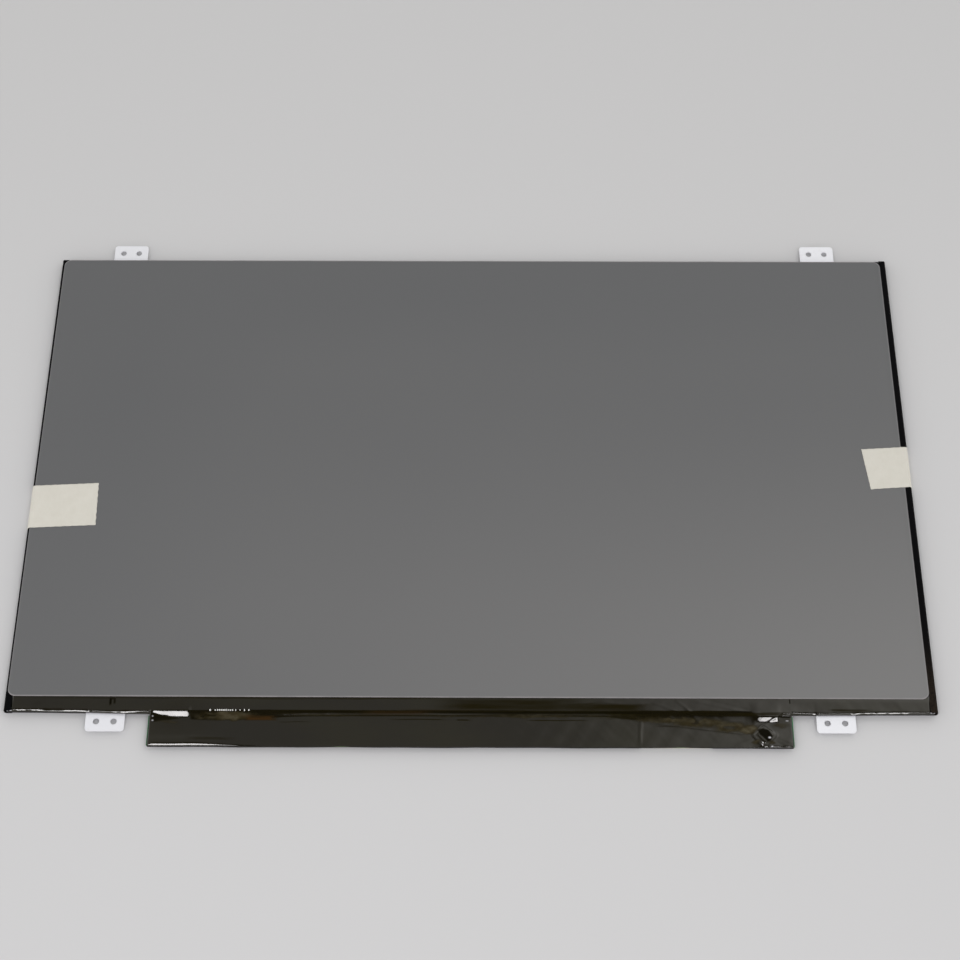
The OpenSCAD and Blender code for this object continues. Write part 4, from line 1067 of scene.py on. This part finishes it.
def masking_strip(name, node, side, width, middle, rise, slant, seed):
    """A creped strip on the film that folds down over the module's side.

    Rise is the slope of its long edges in degrees, and slant how far its torn end leans.
    """
    low, high = box_mm(node)
    inner = min(side * low.x, side * high.x) - min(slant, 0)
    fold_x = SIDE_X - FOLD_IN
    reach = fold_x - inner
    path = [
        (inner, STRIP_TOP), (fold_x, STRIP_TOP), (SIDE_X + 0.12, 2.42), (SIDE_X + 0.15, 2.2),
        (SIDE_X + 0.15, 0.9), (SIDE_X - 0.03, 0.38), (SIDE_X - 0.5, 0.06), (SIDE_X - 2.45, 0.05),
    ]
    counts = [int(reach / STRIP_PITCH), 5, 2, 6, 4, 3, 6]
    line = soften(along_path(np.array([path]), counts))[0]
    v = np.linspace(-0.5, 0.5, 40)[None, :]
    x = np.repeat(line[:, :1], v.size, 1)
    z = np.repeat(line[:, 1:], v.size, 1)
    on_top = np.clip((fold_x - x) / reach, 0, 1) * (z > 3.0)
    y = middle + v * width + math.tan(math.radians(rise)) * reach * on_top
    x = x + slant * (0.5 - v) * on_top ** 3
    edge = 0.04 * np.sin(x * 2.1 + v * 5) + 0.03 * np.sin(x * 5.3 + 1)
    y = y + edge * np.sign(v) * (np.abs(v) > 0.49)
    tear = waves(0 * x, y, seed, 4, 0.05, (9, 20), (0.8, 3))
    x = x + tear * (on_top > 0.999)
    crinkle = waves(x, y, seed + 1, 10, 0.012, (1.2, 7), (2.5, 14))
    dip = 0.5 * (1 - np.cos(math.pi * np.clip(on_top * 3, 0, 1)))
    z = z + (crinkle - 0.012) * np.where(z > 3.0, 1, 0.5) * np.where(on_top > 0, dip + 0.4, 0.6)
    points = list(zip((side * x).ravel(), y.ravel(), z.ravel()))
    faces = sheet_faces(np.ones((len(line) - 1, v.size - 1), bool))
    if side < 0:
        faces = [f[::-1] for f in faces]
    piece = mesh_piece(name, points, faces, "masking_paper", node)
    thicken(piece, MASK_T)


def masking_tapes():
    masking_strip("left_paper_tape", "left_masking_tape", -1, 17.2, -15.05, 2.85, -0.5, 21)
    masking_strip("right_paper_tape", "right_masking_tape", 1, 16.7, 2.2, -3.6, 2.0, 31)


# Repeats made by geometry nodes

class Pattern(Tree):
    """A geometry node tree with named inputs for its sizes."""

    def __init__(self, name, **sizes):
        super().__init__(bpy.data.node_groups.new(name, "GeometryNodeTree"))
        sockets = self.tree.interface
        sockets.new_socket("Geometry", in_out="OUTPUT", socket_type="NodeSocketGeometry")
        self.keys = {}
        for label, kind in sizes.items():
            socket = sockets.new_socket(label, in_out="INPUT", socket_type="NodeSocket" + kind)
            self.keys[label] = socket.identifier
        self.source = self.add("NodeGroupInput")

    def size(self, label):
        return self.source.other(label)

    def close(self, geometry, finish):
        """Realizes the copies, gives them their material and ends the tree."""
        whole = self.add("GeometryNodeRealizeInstances", inputs={"Geometry": geometry})
        dressed = self.add(
            "GeometryNodeSetMaterial", inputs={"Geometry": whole, "Material": finish}
        )
        self.add("NodeGroupOutput", inputs={0: dressed})

    def run(self, name, slot, **values):
        """Runs the tree, and keeps its result as a piece with a plain mesh."""
        holder = bpy.data.objects.new(name, bpy.data.meshes.new(name))
        scene.collection.objects.link(holder)
        maker = holder.modifiers.new("pattern", "NODES")
        maker.node_group = self.tree
        for label, value in values.items():
            maker[self.keys[label]] = value
        graph = bpy.context.evaluated_depsgraph_get()
        mesh = bpy.data.meshes.new_from_object(holder.evaluated_get(graph))
        bpy.data.objects.remove(holder)
        add_piece(name, mesh)

    def line(self):
        """Points in a row, from the sizes Count, Start and Step."""
        return self.add("GeometryNodeMeshLine", {"mode": "OFFSET"}, {
            "Count": self.size("Count"), "Start Location": self.size("Start"),
            "Offset": self.size("Step"),
        })


# Thickness of a printed mark and of a pad's solder, in metres
PRINT_T = 0.03 * MM


def tape_marks(tape):
    """A short row of plain printed dots and dashes on the cover tape."""
    p = Pattern(
        "mark_row", Tape="Object", Count="Int", Start="Vector", Step="Vector", Dot="Float",
        Seed="Int",
    )
    target = p.add("GeometryNodeObjectInfo", inputs={"Object": p.size("Tape")}, output="Geometry")
    ray = p.add("GeometryNodeRaycast", None, {
        "Target Geometry": target, "Ray Direction": (0, 0, -1), "Ray Length": 0.02,
    }, output="Hit Position")
    seated = p.add("GeometryNodeSetPosition", inputs={"Geometry": p.line(), "Position": ray})
    dot = p.add("GeometryNodeMeshCylinder", inputs={
        "Vertices": 8, "Radius": p.size("Dot"), "Depth": PRINT_T,
    }, output="Mesh")
    turn = p.add(
        "FunctionNodeAlignRotationToVector", {"axis": "Z"}, {"Vector": ray.other("Hit Normal")}
    )
    wide = p.add(
        "FunctionNodeRandomValue", {"data_type": "FLOAT_VECTOR"},
        {0: (0.6, 0.7, 1), 1: (1.25, 1.5, 1), "Seed": p.size("Seed")},
    )
    copies = p.add("GeometryNodeInstanceOnPoints", inputs={
        "Points": seated, "Instance": dot, "Rotation": turn, "Scale": wide,
    })
    p.close(copies, finishes["print_white"])
    row_y = -93.6
    rows = [(1, -89.2, 1.0, 0.26), (9, -87.4, 0.74, 0.25), (4, -80.4, 1.5, 0.25)]
    for index, (count, start, step, radius) in enumerate(rows):
        p.run(
            f"tape_marks_{index + 1}", "cover_tape_black", Tape=tape, Count=count,
            Start=(start * MM, row_y * MM, 8 * MM), Step=(step * MM, 0.0, 0.0),
            Dot=radius * MM, Seed=6 + index,
        )


def board_pads():
    """Rows of round test pads on the board's back."""
    p = Pattern(
        "pad_grid", Width="Float", Depth="Float", Across="Int", Down="Int", Centre="Vector",
        Pad="Float", Share="Float", Seed="Int",
    )
    grid = p.add("GeometryNodeMeshGrid", inputs={
        "Size X": p.size("Width"), "Size Y": p.size("Depth"), "Vertices X": p.size("Across"),
        "Vertices Y": p.size("Down"),
    }, output="Mesh")
    chance = p.add(
        "FunctionNodeRandomValue", {"data_type": "FLOAT"},
        {2: 0.0, 3: 1.0, "Seed": p.size("Seed")}, output=1,
    )
    spare = p.add(
        "FunctionNodeCompare", {"data_type": "FLOAT", "operation": "GREATER_THAN"},
        {0: chance, 1: p.size("Share")},
    )
    kept = p.add(
        "GeometryNodeDeleteGeometry", {"domain": "POINT"}, {"Geometry": grid, "Selection": spare}
    )
    placed = p.add(
        "GeometryNodeTransform", inputs={"Geometry": kept, "Translation": p.size("Centre")}
    )
    pad = p.add("GeometryNodeMeshCylinder", inputs={
        "Vertices": 16, "Radius": p.size("Pad"), "Depth": PRINT_T,
    }, output="Mesh")
    copies = p.add("GeometryNodeInstanceOnPoints", inputs={"Points": placed, "Instance": pad})
    p.close(copies, finishes["solder_tin"])
    middle_y = (board_low.y + board_high.y) / 2
    p.run(
        "board_pads", "connector_steel", Width=212 * MM, Depth=9.4 * MM, Across=107, Down=5,
        Centre=(0.0, middle_y * MM, (board_low.z - 0.01) * MM), Pad=0.28 * MM, Share=0.16,
        Seed=11,
    )


def contact_fillets():
    """Solder round the foot of each contact of the signal connector."""
    low, high = box_mm("connector_contacts")
    p = Pattern("fillet_row", Count="Int", Start="Vector", Step="Vector", Fillet="Vector")
    line = p.line()
    ball = p.add("GeometryNodeMeshUVSphere", inputs={
        "Segments": 10, "Rings": 6, "Radius": 0.5,
    }, output="Mesh")
    copies = p.add("GeometryNodeInstanceOnPoints", inputs={
        "Points": line, "Instance": ball, "Scale": p.size("Fillet"),
    })
    p.close(copies, finishes["solder_tin"])
    count = 40
    pitch = (high.x - low.x - 0.2) / (count - 1)
    p.run(
        "contact_fillets", "connector_steel", Count=count, Step=(pitch * MM, 0.0, 0.0),
        Start=((low.x + 0.1) * MM, (high.y - 0.1) * MM, (board_low.z - 0.01) * MM),
        Fillet=(0.30 * MM, 0.7 * MM, 0.16 * MM),
    )


# Every finish, with the CAD nodes that wear it
FINISHES = {
    cover_metal: ["rear_cover"],
    frame_black: ["mold_frame"],
    reflector_white: ["reflector_sheet"],
    guide_clear: ["light_guide_plate"],
    flex_amber: ["led_flex", "driver_films"],
    emitter_cream: ["led_packages"],
    diffuser_white: ["lower_diffuser", "upper_diffuser"],
    prism_film: ["lower_prism_sheet", "upper_prism_sheet"],
    mount_tape_black: ["rim_tape"],
    polarizer_dark: ["lower_polarizer", "upper_polarizer"],
    panel_glass: ["tft_glass", "color_filter_glass"],
    board_green: ["control_board"],
    chip_black: ["timing_controller", "power_chip", "backlight_driver_chip", "memory_chip"],
    silicon_dark: ["driver_chips"],
    capacitor_tan: ["ceramic_capacitors"],
    resistor_black: ["chip_resistors"],
    ferrite_grey: ["power_inductor"],
    connector_ivory: ["connector_housing"],
    connector_steel: ["connector_shell"],
    contact_gold: ["connector_contacts"],
    solder_tin: [],
    cover_tape_black: [],
    edge_tape_black: ["left_edge_tape", "right_edge_tape", "top_edge_tape"],
    transport_film: [],
    masking_paper: [],
    print_white: [],
}

finishes = {build.__name__: material(build) for build in FINISHES}


def dress_nodes():
    for build, names in FINISHES.items():
        for name in names:
            mesh = nodes[name].data
            mesh.materials.clear()
            mesh.materials.append(finishes[build.__name__])


# Camera, light and floor

# The camera that the photograph was taken from, worked out from the module's corners: its
# focal length, frame, middle and optical axis in pixels, its place and how it is turned
FOCAL_PX = 1879.1
FRAME_PX = 960
CENTRE_PX = 480
AXIS_PX = 493.5
CAMERA_AT = Vector((6.42, -333.13, 604.91)) * MM
LOOK_DOWN = math.radians(61.711)
YAW = math.radians(-0.610)
ROLL = math.radians(-0.415)
# Width of the camera's sensor in millimetres
SENSOR = 36

# The point near the lower edge that the lamps face, their distance from it and their tilt,
# how tall they are, and their colour
LAMP_AIM = Vector((0, -0.095, 0))
LAMP_AWAY = 0.8
LAMP_TILT = math.radians(25)
LAMP_TALL = 0.10
LAMP_COLOUR = (0.96, 0.95, 1.0)
# Half the side of the floor
FLOOR_HALF = 6


def photo_camera():
    ahead = Vector((
        math.sin(YAW) * math.cos(LOOK_DOWN), math.cos(YAW) * math.cos(LOOK_DOWN),
        -math.sin(LOOK_DOWN),
    ))
    level = Vector((math.cos(YAW), -math.sin(YAW), 0))
    upright = level.cross(ahead)
    right = math.cos(ROLL) * level + math.sin(ROLL) * upright
    up = math.cos(ROLL) * upright - math.sin(ROLL) * level
    data = bpy.data.cameras.new("photo_camera")
    data.sensor_width = SENSOR
    data.lens = FOCAL_PX / FRAME_PX * SENSOR
    data.shift_y = (AXIS_PX - CENTRE_PX) / FRAME_PX
    data.clip_start = 0.02
    data.clip_end = 60
    camera = bpy.data.objects.new("photo_camera", data)
    turn = Matrix((right, up, -ahead)).transposed()
    camera.matrix_world = Matrix.Translation(CAMERA_AT) @ turn.to_4x4()
    scene.collection.objects.link(camera)
    scene.camera = camera


def studio_world():
    """Soft daylight: paler towards the horizon, dim overhead, with a broad glow behind."""
    world = bpy.data.worlds.new("studio_world")
    world.use_nodes = True
    g = Graph(world.node_tree)
    toward = g.add("ShaderNodeTexCoord", output="Generated")
    split = g.add("ShaderNodeSeparateXYZ", inputs={"Vector": toward})
    height = split.other(2)
    near = {}
    for name, way in (("glow", (0.42, 0.36, 0.83)), ("top", (0.0, -0.16, 1.0))):
        near[name] = g.add(
            "ShaderNodeVectorMath", {"operation": "DOT_PRODUCT"},
            {0: toward, 1: Vector(way).normalized()}, output="Value",
        )
    open_sky = 1.32 - 0.92 * g.smooth(height, 0.25, 0.88)
    overhead = 0.10 + 0.90 * g.smooth(1 - near["top"], 0.022, 0.095)
    glow = 1.4 * g.smooth(near["glow"], 0.91, 1.03)
    level = open_sky * overhead + glow
    back = g.add("ShaderNodeBackground", inputs={"Color": (1, 0.99, 0.97, 1), "Strength": level})
    g.add("ShaderNodeOutputWorld", inputs={"Surface": back})
    scene.world = world


def strip_lamps():
    """Two wide, shallow lamps high up in front; they draw the lights on the tape's end folds."""
    centre = LAMP_AIM + LAMP_AWAY * Vector((0, -math.sin(LAMP_TILT), math.cos(LAMP_TILT)))
    for name, start, end, radiance in (
        ("left_box", -0.40, -0.172, 18), ("right_box", 0.185, 0.40, 15),
    ):
        data = bpy.data.lights.new(name, "AREA")
        data.shape = "RECTANGLE"
        data.size = end - start
        data.size_y = LAMP_TALL
        data.energy = radiance * math.pi * data.size * data.size_y
        data.color = LAMP_COLOUR
        lamp = bpy.data.objects.new(name, data)
        lamp.location = centre + Vector(((start + end) / 2, 0, 0))
        lamp.rotation_euler = (LAMP_AIM - centre).to_track_quat("-Z", "Y").to_euler()
        scene.collection.objects.link(lamp)


def pale_floor(g):
    g.surface((0.62, 0.62, 0.625), 0.6)


def studio_floor():
    mesh = bpy.data.meshes.new("floor")
    corners = [(x * FLOOR_HALF, y * FLOOR_HALF, 0) for x, y in ((-1, -1), (1, -1), (1, 1), (-1, 1))]
    mesh.from_pydata(corners, [], [(0, 1, 2, 3)])
    mesh.materials.append(material(pale_floor))
    floor = bpy.data.objects.new("floor", mesh)
    scene.collection.objects.link(floor)


def main():
    photo_camera()
    studio_world()
    strip_lamps()
    studio_floor()
    dress_nodes()
    tape = cover_tape()
    tape_marks(tape)
    film_sheet()
    masking_tapes()
    board_pads()
    contact_fillets()
    scene.view_settings.view_transform = "Standard"


main()
